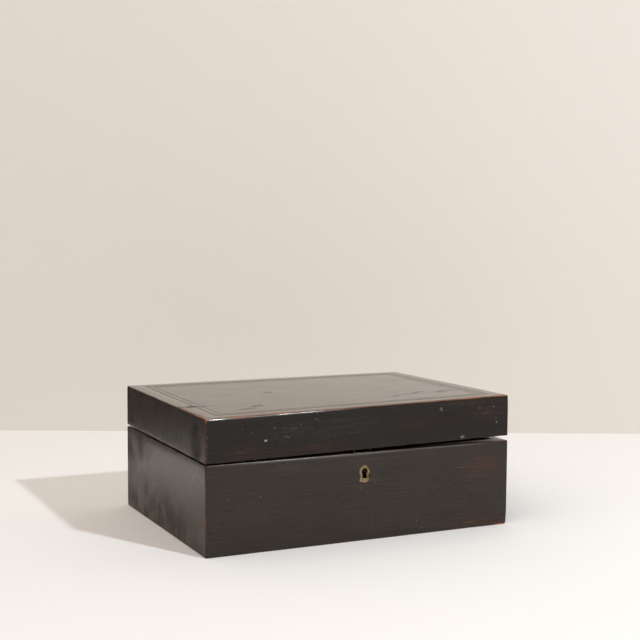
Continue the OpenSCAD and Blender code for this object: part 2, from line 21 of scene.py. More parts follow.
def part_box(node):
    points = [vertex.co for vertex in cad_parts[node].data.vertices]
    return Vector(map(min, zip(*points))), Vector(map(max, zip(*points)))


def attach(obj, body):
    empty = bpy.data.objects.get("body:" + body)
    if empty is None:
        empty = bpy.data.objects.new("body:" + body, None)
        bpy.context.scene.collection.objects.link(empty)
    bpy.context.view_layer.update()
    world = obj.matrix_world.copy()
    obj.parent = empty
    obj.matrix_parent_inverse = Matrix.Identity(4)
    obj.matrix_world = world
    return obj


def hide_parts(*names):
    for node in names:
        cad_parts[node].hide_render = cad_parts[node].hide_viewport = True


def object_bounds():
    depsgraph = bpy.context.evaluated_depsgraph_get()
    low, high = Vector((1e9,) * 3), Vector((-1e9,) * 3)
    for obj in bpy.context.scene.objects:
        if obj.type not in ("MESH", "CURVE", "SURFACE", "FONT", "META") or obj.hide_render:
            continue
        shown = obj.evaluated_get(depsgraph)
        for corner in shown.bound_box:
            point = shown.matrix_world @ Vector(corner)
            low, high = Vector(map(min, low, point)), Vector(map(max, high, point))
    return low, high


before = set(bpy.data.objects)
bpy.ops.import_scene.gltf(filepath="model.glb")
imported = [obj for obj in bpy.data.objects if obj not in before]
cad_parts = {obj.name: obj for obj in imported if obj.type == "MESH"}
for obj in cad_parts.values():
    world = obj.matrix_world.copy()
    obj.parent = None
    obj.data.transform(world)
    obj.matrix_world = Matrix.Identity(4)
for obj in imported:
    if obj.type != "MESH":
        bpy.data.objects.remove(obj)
CAD_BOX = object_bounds()

LOG = logging.getLogger("box")
MM = 0.001
PHOTO_PIXELS = 640
# Points closer than this are one, and faces that meet at less than this angle look as one.
MERGE_DISTANCE = 0.002 * MM
SMOOTH_DEGREES = 32.0
METAL_DEGREES = 40.0
# Room round metal that is let into wood, and how far a cutter goes past what it cuts.
FIT = 0.05 * MM
PAST = 1 * MM
ORIGIN = (0.0, 0.0, 0.0)
Place = tuple[float, float, float]
Colour = tuple[float, float, float]
Array = np.ndarray
Piece = bpy.types.Object
Material = bpy.types.Material
Group = bpy.types.NodeTree
Outputs = bpy.types.NodeOutputs


# ---- sizes ----


class Side(Enum):
    """The four sides of the box, counted anticlockwise seen from above."""

    FRONT = 0
    RIGHT = 1
    BACK = 2
    LEFT = 3

    @property
    def is_long(self) -> bool:
        """Whether it is the front or the back."""
        return self in (Side.FRONT, Side.BACK)

    @property
    def label(self) -> str:
        """Its name in lower case, as in the names of nodes and pieces."""
        return self.name.lower()


@dataclass(frozen=True)
class BoxSizes:
    """The sizes that the wooden pieces share, read from the frame or repeated from the part."""

    width: float
    depth: float
    rim: float
    board: float
    lid_height: float = 38 * MM
    veneer: float = 1 * MM
    glue_line: float = 0.05 * MM
    top_board: float = 7 * MM
    rebate: float = 6 * MM
    bottom: float = 6 * MM
    lift_front_left: float = 1.5 * MM
    lift_front_right: float = 4.8 * MM
    lift_back_left: float = 1.8 * MM
    lift_back_right: float = 0.4 * MM
    outer_band: float = 14.4 * MM
    inner_band: float = 5.6 * MM
    string: float = 0.6 * MM
    opening_degrees: float = 95.0

    @classmethod
    def from_frame(cls) -> "BoxSizes":
        """Reads the outline, the rim and the board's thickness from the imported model.

        Returns:
            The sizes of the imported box.
        """
        low, high = CAD_BOX
        board_low, board_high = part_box("front_board")
        return cls(
            width=high[0] - low[0],
            depth=high[1] - low[1],
            rim=board_high[2],
            board=board_high[1] - board_low[1],
        )

    @property
    def rail_top(self) -> float:
        """Height of the rails' and the top board's upper face above the lid's lower edge."""
        return self.lid_height - self.veneer

    @property
    def bed(self) -> float:
        """Height of the veneers' underside above the lid's lower edge."""
        return self.rail_top + self.glue_line

    def half_length(self, side: Side) -> float:
        """Half the length of a side."""
        return (self.width if side.is_long else self.depth) / 2

    def face_distance(self, side: Side) -> float:
        """Distance from the middle of the box to the outer face of a side."""
        return (self.depth if side.is_long else self.width) / 2

    def rise_terms(self) -> tuple[float, float, float, float]:
        """The gap under the lid, which is straight between its four corners.

        Returns:
            Its constant term, and its terms in x, in y and in their product.
        """
        front_left, front_right = self.lift_front_left, self.lift_front_right
        back_left, back_right = self.lift_back_left, self.lift_back_right
        return (
            (front_left + front_right + back_left + back_right) / 4,
            (front_right - front_left + back_right - back_left) / (2 * self.width),
            (back_left + back_right - front_left - front_right) / (2 * self.depth),
            (front_left - front_right - back_left + back_right) / (self.width * self.depth),
        )

    def rise(self, x: Array, y: Array) -> Array:
        """Gap between rim and lid: a constant, plus a multiple of x, of y and of their product."""
        constant, by_x, by_y, by_xy = self.rise_terms()
        return constant + by_x * x + by_y * y + by_xy * x * y


# ---- meshes ----


def slow_wave(x: Array, y: Array, z: Array, length: float) -> Array:
    """An uneven wave through space: three sines of unlike lengths and directions, summed.

    Args:
        x: First coordinates.
        y: Second coordinates.
        z: Third coordinates.
        length: Rough distance between crests.

    Returns:
        Values between -1 and 1.
    """
    k = 2 * math.pi / length
    first = np.sin(k * (0.83 * x + 0.41 * y - 0.37 * z) + 0.7)
    second = np.sin(1.63 * k * (-0.52 * x + 1.17 * y + 0.61 * z) + 2.1)
    third = np.sin(2.71 * k * (0.97 * x - 0.66 * y + 1.31 * z) + 4.4)
    return (first + 0.7 * second + 0.5 * third) / 2.2


def finish_mesh(mesh: bpy.types.Mesh, smooth_angle: float) -> None:
    """Merges doubled points, turns the faces outwards and keeps the sharp edges sharp.

    Args:
        mesh: The mesh, changed in place.
        smooth_angle: Faces that meet at less than this many degrees are shaded as one surface.
    """
    work = bmesh.new()
    work.from_mesh(mesh)
    bmesh.ops.remove_doubles(work, verts=work.verts, dist=MERGE_DISTANCE)
    bmesh.ops.dissolve_degenerate(work, dist=MERGE_DISTANCE, edges=work.edges)
    bmesh.ops.recalc_face_normals(work, faces=work.faces)
    work.to_mesh(mesh)
    work.free()
    mesh.shade_smooth()
    mesh.set_sharp_from_angle(angle=math.radians(smooth_angle))
    mesh.update()


def new_piece(
    name: str,
    points: Array,
    faces: Iterable[Sequence[int]],
    smooth_angle: float = SMOOTH_DEGREES,
) -> Piece:
    """Makes an object of points and faces; it sits at the origin with its place in its mesh.

    Args:
        name: The piece's name.
        points: Rows of three coordinates.
        faces: Point numbers of each face.
        smooth_angle: Faces that meet at less than this many degrees are shaded as one surface.

    Returns:
        The new object.
    """
    mesh = bpy.data.meshes.new(name)
    mesh.from_pydata(points.reshape(-1, 3).tolist(), [], [tuple(f) for f in faces])
    finish_mesh(mesh, smooth_angle)
    piece = bpy.data.objects.new(name, mesh)
    bpy.context.scene.collection.objects.link(piece)
    return piece


def grid_faces(rows: int, columns: int, wrap_rows: bool, wrap_columns: bool) -> Array:
    """Four-sided faces of a grid of points, joined end to end where asked.

    Args:
        rows: How many rows of points.
        columns: How many points in a row.
        wrap_rows: Whether the last row joins the first.
        wrap_columns: Whether the end of a row joins its start.

    Returns:
        Point numbers, four to a face.
    """
    i, j = np.meshgrid(
        np.arange(rows if wrap_rows else rows - 1),
        np.arange(columns if wrap_columns else columns - 1),
        indexing="ij",
    )
    below = (i + 1) % rows
    after = (j + 1) % columns
    corners = (i * columns + j, below * columns + j, below * columns + after, i * columns + after)
    return np.stack(corners, -1).reshape(-1, 4)


def swept(name: str, *strips: Array) -> Piece:
    """Closed sections carried along paths, with a flat cap at each end.

    Args:
        name: The piece's name.
        strips: For each path, points by station along it and by place round the section.

    Returns:
        The new object.
    """
    stations, count = strips[0].shape[:2]
    layer = stations * count
    skin = grid_faces(stations, count, False, True)
    start = np.arange(count)
    end = layer - 1 - start
    faces = []
    for first in range(0, len(strips) * layer, layer):
        faces += [*(skin + first).tolist(), (start + first).tolist(), (end + first).tolist()]
    return new_piece(name, np.stack(strips), faces)


def slab(name: str, top: Array, bottom: Array) -> Piece:
    """A closed slab between two grids of points of one shape.

    Args:
        name: The piece's name.
        top: Points of the upper face, by row and column.
        bottom: Points of the lower face, by row and column.

    Returns:
        The new object.
    """
    rows, columns = top.shape[:2]
    layer = rows * columns
    upper = grid_faces(rows, columns, False, False)
    ring = np.concatenate(
        [
            np.arange(columns),
            np.arange(2, rows + 1) * columns - 1,
            layer - np.arange(2, columns + 1),
            np.arange(rows - 2, 0, -1) * columns,
        ]
    )
    after = np.roll(ring, -1)
    wall = np.stack([ring, ring + layer, after + layer, after], -1)
    faces = np.concatenate([upper, upper[:, ::-1] + layer, wall])
    return new_piece(name, np.concatenate([top, bottom]), faces.tolist())


def prism(outline: Array, low: float, high: float, axes: tuple[int, int, int]) -> Piece:
    """A flat outline made thick, used as a cutter.

    Args:
        outline: The outline's points in two columns.
        low: Where it starts along its thickness.
        high: Where it ends along its thickness.
        axes: The axes of the first column, the second column and the thickness.

    Returns:
        The new object.
    """
    points = np.zeros((2, len(outline), 3))
    points[:, :, axes[0]] = outline[:, 0]
    points[:, :, axes[1]] = outline[:, 1]
    points[0, :, axes[2]] = low
    points[1, :, axes[2]] = high
    return swept("cutter", points)


def box_cutter(low: Sequence[float], high: Sequence[float]) -> Piece:
    """A cutter that is a box.

    Args:
        low: Its corner with the least coordinates.
        high: Its corner with the greatest.

    Returns:
        The new object.
    """
    (x, y, z), (far_x, far_y, far_z) = low, high
    outline = np.array([[x, y], [far_x, y], [far_x, far_y], [x, far_y]])
    return prism(outline, z, far_z, (0, 1, 2))


def round_cutter(centre: Place, radius: float, length: float, points: int = 48) -> Piece:
    """A cutter that is a cylinder round a line along X through its centre.

    Args:
        centre: Its middle.
        radius: Its radius.
        length: Its length.
        points: How many points its round has.

    Returns:
        The new object.
    """
    x, y, z = centre
    angle = np.linspace(0, 2 * math.pi, points, endpoint=False)
    outline = np.stack([y + radius * np.cos(angle), z + radius * np.sin(angle)], -1)
    low = x - length / 2
    return prism(outline, low, low + length, (1, 2, 0))


def cut(piece: Piece, cutters: Sequence[Piece]) -> None:
    """Takes the cutters' volume out of a piece, and deletes the cutters.

    Args:
        piece: The piece; its mesh is replaced.
        cutters: Closed solids.
    """
    if not cutters:
        return
    for cutter in cutters:
        boolean = piece.modifiers.new("cut", "BOOLEAN")
        boolean.operation = "DIFFERENCE"
        boolean.solver = "EXACT"
        boolean.object = cutter
    graph = bpy.context.evaluated_depsgraph_get()
    result = bpy.data.meshes.new_from_object(piece.evaluated_get(graph))
    before = piece.data
    piece.modifiers.clear()
    piece.data = result
    bpy.data.meshes.remove(before)
    result.name = piece.name
    finish_mesh(result, SMOOTH_DEGREES)
    for cutter in cutters:
        bpy.data.objects.remove(cutter, do_unlink=True)


# ---- sections ----

PerStation = Array | float


def plain_points(*places: tuple[float, float]) -> Array:
    """Points of a section that are the same at every station."""
    return np.array(places, dtype=float)[None]


def arc(
    centre: tuple[PerStation, PerStation],
    radius: PerStation,
    begin: PerStation,
    end: PerStation,
    steps: int = 6,
) -> Array:
    """Points of a section on an arc: centre plus radius times cosine and sine of the angle.

    Args:
        centre: Inward and upward place of the arc's centre, per station or for all.
        radius: The arc's radius, per station or for all.
        begin: First angle in degrees, from inward towards up.
        end: Last angle in degrees.
        steps: How many steps the arc has.

    Returns:
        Points by station and step, inward and upward.
    """
    share = np.linspace(0, 1, steps + 1)
    begin, end, radius = (np.atleast_1d(v)[:, None] for v in (begin, end, radius))
    angle = np.radians(begin + (end - begin) * share)
    inward = np.atleast_1d(centre[0])[:, None] + radius * np.cos(angle)
    upward = np.atleast_1d(centre[1])[:, None] + radius * np.sin(angle)
    return np.stack(np.broadcast_arrays(inward, upward), -1)


def joined(stations: int, *runs: Array) -> Array:
    """Runs of section points put one after another at every station."""
    return np.concatenate([np.broadcast_to(run, (stations, *run.shape[1:])) for run in runs], 1)


@dataclass(frozen=True)
class Corner:
    """How round one upright corner of the box has worn, and how much more at its two ends."""

    radius: float
    extra_low: float = 0.0
    extra_high: float = 0.0
    reach: float = 6 * MM

    def at(self, height: Array, low: float, high: float) -> Array:
        """The radius at each height: bell curves about both ends are added to a plain radius.

        Args:
            height: The heights.
            low: Height of the corner's lower end.
            high: Height of its upper end.

        Returns:
            The radius at each height.
        """
        near_low = np.exp(-(((height - low) / self.reach) ** 2))
        near_high = np.exp(-(((height - high) / self.reach) ** 2))
        return self.radius + self.extra_low * near_low + self.extra_high * near_high


@dataclass(frozen=True)
class Chip:
    """A place on a long edge where a splinter has gone: more rounding over a short stretch."""

    side: Side
    along: float
    depth: float
    length: float


@dataclass
class SidePath:
    """The way round the box's outline, on which the sections of boards and strips are carried.

    The outline at a distance inward is a rectangle whose corners are arcs with the corner's
    radius less that distance, so points deeper than the radius meet at a sharp corner. A side
    runs from mitre to mitre, and owns half of the arc at each end.
    """

    sizes: BoxSizes
    corners: tuple[Corner, ...]
    arc_steps: int = 6
    straight_steps: int = 100
    edge_wave: float = 70 * MM
    face_wave: float = 110 * MM

    @property
    def stations(self) -> int:
        """How many places along a side a section stands at."""
        return 2 * self.arc_steps + self.straight_steps + 1

    def edge_places(self, side: Side) -> Array:
        """Place of each station along the sharp outline of a side, from one mitre to the next."""
        half = self.sizes.half_length(side)
        return np.linspace(-half, half, self.stations)

    def edge_radius(
        self, side: Side, height: float, radius: float, spread: float, chips: Sequence[Chip] = ()
    ) -> Array:
        """Radius of a worn long edge: a plain radius, a slow wave round the box, and chips.

        Args:
            side: The side.
            height: Height of the edge, which sets where the wave stands.
            radius: The plain radius.
            spread: How much the wave adds or takes away.
            chips: Places that lost a splinter.

        Returns:
            The radius at each station, the same for both sides at a mitre.
        """
        along = self.edge_places(side)
        x, y = self.turned(side, along, np.full_like(along, -self.sizes.face_distance(side)))
        wave = slow_wave(x, y, np.full_like(x, height), self.edge_wave)
        result = radius + spread * wave
        for chip in chips:
            if chip.side is side:
                result += chip.depth * np.exp(-(((along - chip.along) / chip.length) ** 2))
        return result

    def turned(self, side: Side, along: Array, y: Array) -> tuple[Array, Array]:
        """Turns points of the front side to another side, a quarter turn for each.

        Args:
            side: The other side.
            along: Places along the front.
            y: Places from front to back.

        Returns:
            The turned x and y.
        """
        angle = side.value * math.pi / 2
        return (
            along * math.cos(angle) - y * math.sin(angle),
            along * math.sin(angle) + y * math.cos(angle),
        )

    def carry(self, side: Side, section: Array, low: float, high: float) -> Array:
        """Stands a section at every station along a side.

        Along the side, the first stations turn through half of the corner's arc, the middle ones
        run straight, and the last turn through half of the next arc.

        Args:
            side: The side.
            section: Inward and upward places, by station and point.
            low: Height of the corners' lower ends.
            high: Height of their upper ends.

        Returns:
            Points by station and section point, the height still as in the section.
        """
        half = self.sizes.half_length(side)
        inward, height = section[..., 0], section[..., 1]
        start = np.maximum(self.corners[side.value].at(height, low, high), inward)
        end = np.maximum(self.corners[(side.value + 1) % 4].at(height, low, high), inward)
        steps = self.arc_steps
        turn = np.zeros(self.stations)
        turn[:steps] = np.radians(45 * np.arange(steps, 0, -1) / steps)
        turn[-steps:] = np.radians(45 * np.arange(1, steps + 1) / steps)
        turn = turn[:, None]
        run = np.clip((np.arange(self.stations) - steps) / self.straight_steps, 0, 1)[:, None]
        first_half = (np.arange(self.stations) < self.stations / 2)[:, None]
        worn = np.where(first_half, start - inward, end - inward)
        straight = (start - half) * (1 - run) + (half - end) * run
        along = straight + np.where(first_half, -1, 1) * worn * np.sin(turn)
        depth = inward + worn * (1 - np.cos(turn))
        x, y = self.turned(side, along, depth - self.sizes.face_distance(side))
        return np.stack([x, y, height], -1)


def uneven_face(
    path: SidePath, side: Side, low: Array, high: Array, dips: float, steps: int = 10
) -> Array:
    """Section points down an outer face that old shrinkage and rubbing have left uneven.

    The face lies inward by dips times a slow wave, faded out towards its two long edges.

    Args:
        path: The way round the box.
        side: The side.
        low: Height of the face's lower end at each station.
        high: Height of its upper end.
        dips: The deepest dip.
        steps: How many steps the face has.

    Returns:
        Points from the upper end to the lower, by station.
    """
    share = np.linspace(1, 0, steps + 1)[None, 1:-1]
    height = low[:, None] + (high - low)[:, None] * share
    along = path.edge_places(side)[:, None] + 0 * height
    x, y = path.turned(side, along, np.full_like(along, -path.sizes.face_distance(side)))
    fade = np.sin(np.pi * share) * (1 - (along / path.sizes.half_length(side)) ** 8)
    inward = dips * fade * (0.5 + 0.5 * slow_wave(x, y, height, path.face_wave))
    return np.stack([inward, height], -1)


# ---- shader trees ----

Link = bpy.types.NodeSocket
Value = Link | float | tuple[float, ...]


@dataclass
class Tree:
    """A shader tree with short calls to add nodes, each fed by sockets or plain values."""

    tree: Group

    def add(
        self, kind: str, inputs: dict[str | int, Value] | None = None, **settings: object
    ) -> bpy.types.Node:
        """Adds a node.

        Args:
            kind: The node's type.
            inputs: Sockets or values by input name or number.
            settings: The node's own properties.

        Returns:
            The node.
        """
        node = self.tree.nodes.new(kind)
        for name, setting in settings.items():
            setattr(node, name, setting)
        for name, value in (inputs or {}).items():
            self.put(node.inputs[name], value)
        return node

    def put(self, socket: Link, value: Value) -> None:
        """Feeds an input.

        Args:
            socket: The input.
            value: A socket to link it to, or a plain value to set it to.
        """
        if isinstance(value, bpy.types.NodeSocket):
            self.tree.links.new(value, socket)
        else:
            socket.default_value = value

    def math(self, operation: str, a: Value, b: Value = 0.0, clamp: bool = False) -> Link:
        """One number worked out from two."""
        node = self.add("ShaderNodeMath", {0: a, 1: b}, operation=operation, use_clamp=clamp)
        return node.outputs[0]

    def total(self, *values: Value) -> Link:
        """Adds up numbers.

        Args:
            values: One number or more.

        Returns:
            Their sum.
        """
        result = values[0]
        for value in values[1:]:
            result = self.math("ADD", result, value)
        return result

    def times(self, a: Value, b: Value, clamp: bool = False) -> Link:
        """The product of two numbers."""
        return self.math("MULTIPLY", a, b, clamp)

    def minus(self, a: Value, b: Value) -> Link:
        """The first number less the second."""
        return self.math("SUBTRACT", a, b)

    def least(self, a: Value, b: Value) -> Link:
        """The lesser of two numbers."""
        return self.math("MINIMUM", a, b)

    def most(self, a: Value, b: Value) -> Link:
        """The greater of two numbers."""
        return self.math("MAXIMUM", a, b)

    def vector(self, operation: str, a: Value, b: Value = ORIGIN) -> Link:
        """Works out one vector or number from two vectors.

        Args:
            operation: What is worked out.
            a: The first vector.
            b: The second.

        Returns:
            The vector, or the length, distance or dot product.
        """
        node = self.add("ShaderNodeVectorMath", {0: a, 1: b}, operation=operation)
        gives_number = operation in ("LENGTH", "DOT_PRODUCT", "DISTANCE")
        return node.outputs["Value" if gives_number else "Vector"]

    def scaled(self, vector: Link, scale: Value) -> Link:
        """A vector times a number."""
        inputs = {0: vector, 3: scale}
        return self.add("ShaderNodeVectorMath", inputs, operation="SCALE").outputs["Vector"]

    def fill(self, node: bpy.types.Node, **inputs: Value) -> Outputs:
        """Feeds inputs of a node.

        Args:
            node: The node.
            inputs: Sockets or values by input name, with _ for a space.

        Returns:
            The node's outputs.
        """
        for name, value in inputs.items():
            self.put(node.inputs[name.replace("_", " ")], value)
        return node.outputs

    def axes(self, vector: Link) -> tuple[Link, Link, Link]:
        """The three parts of a vector."""
        node = self.add("ShaderNodeSeparateXYZ", {0: vector})
        return node.outputs[0], node.outputs[1], node.outputs[2]

    def step(
        self, value: Value, low: Value, high: Value, to_low: float = 0.0, to_high: float = 1.0
    ) -> Link:
        """A smooth step.

        Args:
            value: What it follows.
            low: Where it starts.
            high: Where it ends.
            to_low: What it gives up to low.
            to_high: What it gives from high on.

        Returns:
            The result.
        """
        inputs = {0: value, 1: low, 2: high, 3: to_low, 4: to_high}
        node = self.add("ShaderNodeMapRange", inputs, interpolation_type="SMOOTHSTEP")
        return node.outputs["Result"]

    def noise(self, vector: Link, scale: float, detail: float, roughness: float = 0.55) -> Link:
        """A noise about one half."""
        inputs = {"Vector": vector, "Scale": scale, "Detail": detail, "Roughness": roughness}
        return self.add("ShaderNodeTexNoise", inputs).outputs[0]

    def mix(self, share: Value, first: Value, second: Value) -> Link:
        """A colour between two."""
        inputs = {0: share, 6: rgba(first), 7: rgba(second)}
        return self.add("ShaderNodeMix", inputs, data_type="RGBA").outputs[2]

    def blend(self, share: Value, first: Value, second: Value) -> Link:
        """A number between two."""
        return self.add("ShaderNodeMix", {0: share, 2: first, 3: second}).outputs[0]


def rgba(colour: Value) -> Value:
    """A plain colour with its fourth number, or a socket as it is."""
    return (*colour, 1.0) if isinstance(colour, tuple) and len(colour) == 3 else colour


def new_group(name: str, **inputs: float | Place) -> tuple[Tree, Outputs]:
    """Starts a shader node group, whose first input is the position.

    Args:
        name: The group's name.
        inputs: Usual value by name, with _ for a space: a number, or a vector of three.

    Returns:
        The group's tree and the sockets that carry its inputs.
    """
    group = bpy.data.node_groups.new(name, "ShaderNodeTree")
    for socket, value in {"Position": ORIGIN, **inputs}.items():
        made = group.interface.new_socket(
            socket.replace("_", " "),
            in_out="INPUT",
            socket_type="NodeSocketVector" if isinstance(value, tuple) else "NodeSocketFloat",
        )
        made.default_value = value
    return Tree(group), group.nodes.new("NodeGroupInput").outputs


def whole_group(tree: Tree, **outputs: Link) -> Group:
    """Ends a shader node group.

    Args:
        tree: The group's tree.
        outputs: The masks and heights that it puts out, by name, with _ for a space.

    Returns:
        The group.
    """
    group = tree.tree
    for name in outputs:
        socket = name.replace("_", " ")
        group.interface.new_socket(socket, in_out="OUTPUT", socket_type="NodeSocketFloat")
    taken = group.nodes.new("NodeGroupOutput")
    for value, socket in zip(outputs.values(), taken.inputs):
        group.links.new(value, socket)
    return group


class Effects:
    """The node groups that several finishes share, each built once."""

    def __init__(self) -> None:
        """Builds every group."""
        self.grain = self._grain()
        self.edges = self._edges()
        self.place = self._place()
        self.stroke = self._stroke()
        self.specks = self._specks()
        self.tarnish = self._tarnish()

    def _grain(self) -> Group:
        """Wood grain: noises drawn out along the grain, as fibres, short pores and broad bands.

        Returns:
            The group.
        """
        tree, given = new_group("wood_grain", Along=(1.0, 0.0, 0.0))

        def drawn(across: float, along: float) -> Link:
            """The position times a number across the grain and a smaller one along it."""
            stretch = tree.vector("ADD", tree.scaled(given["Along"], along - across), (across,) * 3)
            return tree.vector("MULTIPLY", given["Position"], stretch)

        fibres = tree.noise(drawn(across=1000, along=26), 1.0, 4.0, 0.6)
        pores = tree.noise(drawn(across=1900, along=130), 1.0, 2.0, 0.5)
        bands = tree.noise(drawn(across=95, along=17), 1.0, 4.0, 0.65)
        pits = tree.step(pores, 0.62, 0.74)
        height = tree.minus(fibres, tree.times(pits, 0.3))
        return whole_group(tree, Fibres=fibres, Pores=pits, Bands=bands, Height=height)

    def _edges(self) -> Group:
        """Distance to the nearest edge of a box whose bottom and top may be twisted.

        The distances to the two nearest sides and to bottom and top are four numbers. A place on
        the surface has the least of them near nought, so the second least is its distance to an
        edge: the least of the greater of each pair, and the greater of the two pairs' least.

        Returns:
            The group.
        """
        tree, given = new_group(
            "edge_distance",
            Half_Size=ORIGIN,
            Foot=0.0,
            Height=0.0,
            Rise_X=0.0,
            Rise_Y=0.0,
            Rise_XY=0.0,
        )
        x, y, z = tree.axes(given["Position"])
        outward = tree.vector("ABSOLUTE", given["Position"])
        side_gap, front_gap, _ = tree.axes(tree.vector("SUBTRACT", given["Half Size"], outward))
        rise = tree.total(
            given["Foot"],
            tree.times(x, given["Rise X"]),
            tree.times(y, given["Rise Y"]),
            tree.times(tree.times(x, y), given["Rise XY"]),
        )
        above = tree.minus(z, rise)
        below = tree.minus(given["Height"], above)
        inward = tree.least(side_gap, front_gap)
        upright = tree.least(above, below)
        nearest = tree.most(inward, upright)
        nearest = tree.least(nearest, tree.most(side_gap, front_gap))
        nearest = tree.least(nearest, tree.most(above, below))
        return whole_group(tree, Edge=nearest, Inward=inward, Above_Foot=above)

    def _place(self) -> Group:
        """A soft ellipsoid: one near its centre, nought where the scaled distance reaches one.

        Returns:
            The group.
        """
        tree, given = new_group("worn_place", Centre=ORIGIN, Reach=ORIGIN, Strength=1.0)
        offset = tree.vector("SUBTRACT", given["Position"], given["Centre"])
        distance = tree.vector("LENGTH", tree.vector("DIVIDE", offset, given["Reach"]))
        whole = 0.35
        mask = tree.times(tree.step(distance, whole, 1.0, 1.0, 0.0), given["Strength"])
        return whole_group(tree, Mask=mask)

    def _stroke(self) -> Group:
        """A scratch: the distance to a straight line between two points, less than a width.

        The nearest point of the line is its start plus the clamped share of its run, and the
        share is the dot product of the offset and the run over the run's squared length.

        Returns:
            The group.
        """
        tree, given = new_group("scratch", Start=ORIGIN, End=ORIGIN, Width=0.0, Strength=1.0)
        run = tree.vector("SUBTRACT", given["End"], given["Start"])
        offset = tree.vector("SUBTRACT", given["Position"], given["Start"])
        squared = tree.most(tree.vector("DOT_PRODUCT", run, run), 1e-9)
        share = tree.math("DIVIDE", tree.vector("DOT_PRODUCT", offset, run), squared, clamp=True)
        distance = tree.vector("DISTANCE", offset, tree.scaled(run, share))
        ragged = tree.times(tree.noise(given["Position"], 420.0, 5.0, 0.7), given["Width"])
        distance = tree.total(distance, tree.times(ragged, 1.3))
        taper = tree.times(tree.math("ABSOLUTE", tree.minus(share, 0.5)), 2.0)
        width = tree.times(given["Width"], tree.step(taper, 0.4, 1.0, 1.0, 0.45))
        inner = tree.times(width, 0.45)
        mask = tree.minus(1.0, tree.step(distance, inner, tree.times(width, 1.4)))
        return whole_group(tree, Mask=tree.times(mask, given["Strength"]))

    def _specks(self) -> Group:
        """Small scattered specks: the middles of the cells whose own random number is low.

        Returns:
            The group.
        """
        tree, given = new_group("specks", Per_Metre=0.0, Share=0.0, Size=0.0)
        inputs = {"Vector": given["Position"], "Scale": given["Per Metre"]}
        cells = tree.add("ShaderNodeTexVoronoi", inputs)
        chance = tree.axes(cells.outputs["Color"])[0]
        chosen = tree.math("LESS_THAN", chance, given["Share"])
        near = tree.minus(1.0, tree.step(cells.outputs["Distance"], 0.0, given["Size"]))
        return whole_group(tree, Mask=tree.times(chosen, near))

    def _tarnish(self) -> Group:
        """Old metal: clouds of tarnish, dark pits, and fine rubbing marks as a height.

        Returns:
            The group.
        """
        tree, given = new_group("tarnish", Scale=1.0)
        place = tree.scaled(given["Position"], given["Scale"])
        clouds = tree.noise(place, 260.0, 5.0, 0.65)
        pits = tree.step(tree.noise(place, 1500.0, 2.0), 0.6, 0.72)
        rubbed = tree.noise(tree.vector("MULTIPLY", place, (300.0, 300.0, 4200.0)), 1.0, 2.0)
        height = tree.minus(tree.times(rubbed, 0.4), pits)
        return whole_group(tree, Clouds=clouds, Pits=pits, Height=height)


EFFECTS = Effects()


# ---- finishes ----


class Grain(Enum):
    """Which way the grain runs, as a direction."""

    LENGTHWISE = (1.0, 0.0, 0.0)
    DEPTHWISE = (0.0, 1.0, 0.0)
    UPRIGHT = (0.0, 0.0, 1.0)


@dataclass(frozen=True)
class Polish:
    """How one kind of face has kept its black: its gloss, its blacks and its thin stain."""

    on_lid: bool
    ior: float
    roughness: float
    black: Colour
    dulled: Colour
    thin: Colour


class Face(Enum):
    """The kinds of black face, which hands have rubbed in different ways."""

    CASE_LONG = Polish(
        False, 1.36, 0.30,
        (0.0205, 0.0150, 0.0108), (0.0265, 0.0200, 0.0145), (0.052, 0.021, 0.0130),
    )
    CASE_SHORT = Polish(
        False, 1.35, 0.22,
        (0.0220, 0.0145, 0.0080), (0.0340, 0.0240, 0.0150), (0.050, 0.023, 0.012),
    )
    LID_LONG = Polish(
        True, 1.33, 0.28,
        (0.0070, 0.0044, 0.0026), (0.0135, 0.0098, 0.0068), (0.036, 0.0120, 0.0065),
    )
    LID_SHORT = Polish(
        True, 1.31, 0.30,
        (0.0090, 0.0058, 0.0034), (0.0290, 0.0215, 0.0145), (0.040, 0.015, 0.0085),
    )
    LID_TOP = Polish(
        True, 1.74, 0.15,
        (0.0420, 0.0215, 0.0105), (0.0600, 0.0335, 0.0175), (0.098, 0.042, 0.019),
    )


class Damage(Enum):
    """What a mark has done to the black finish."""

    PALE = "pale"
    ORANGE = "orange"
    DARK = "dark"


@dataclass(frozen=True)
class Patch:
    """An ellipsoid in which the finish has changed, with a soft edge; places in millimetres."""

    centre: Place
    reach: Place
    strength: float


def patches(*rows: tuple[float, ...]) -> tuple[Patch, ...]:
    """Patches from rows of seven numbers: centre, reach and strength."""
    return tuple(Patch(row[:3], row[3:6], row[6]) for row in rows)


@dataclass(frozen=True)
class Mark:
    """A scratch or dent in the finish; places in millimetres."""

    start: Place
    end: Place
    width: float
    damage: Damage
    strength: float = 1.0


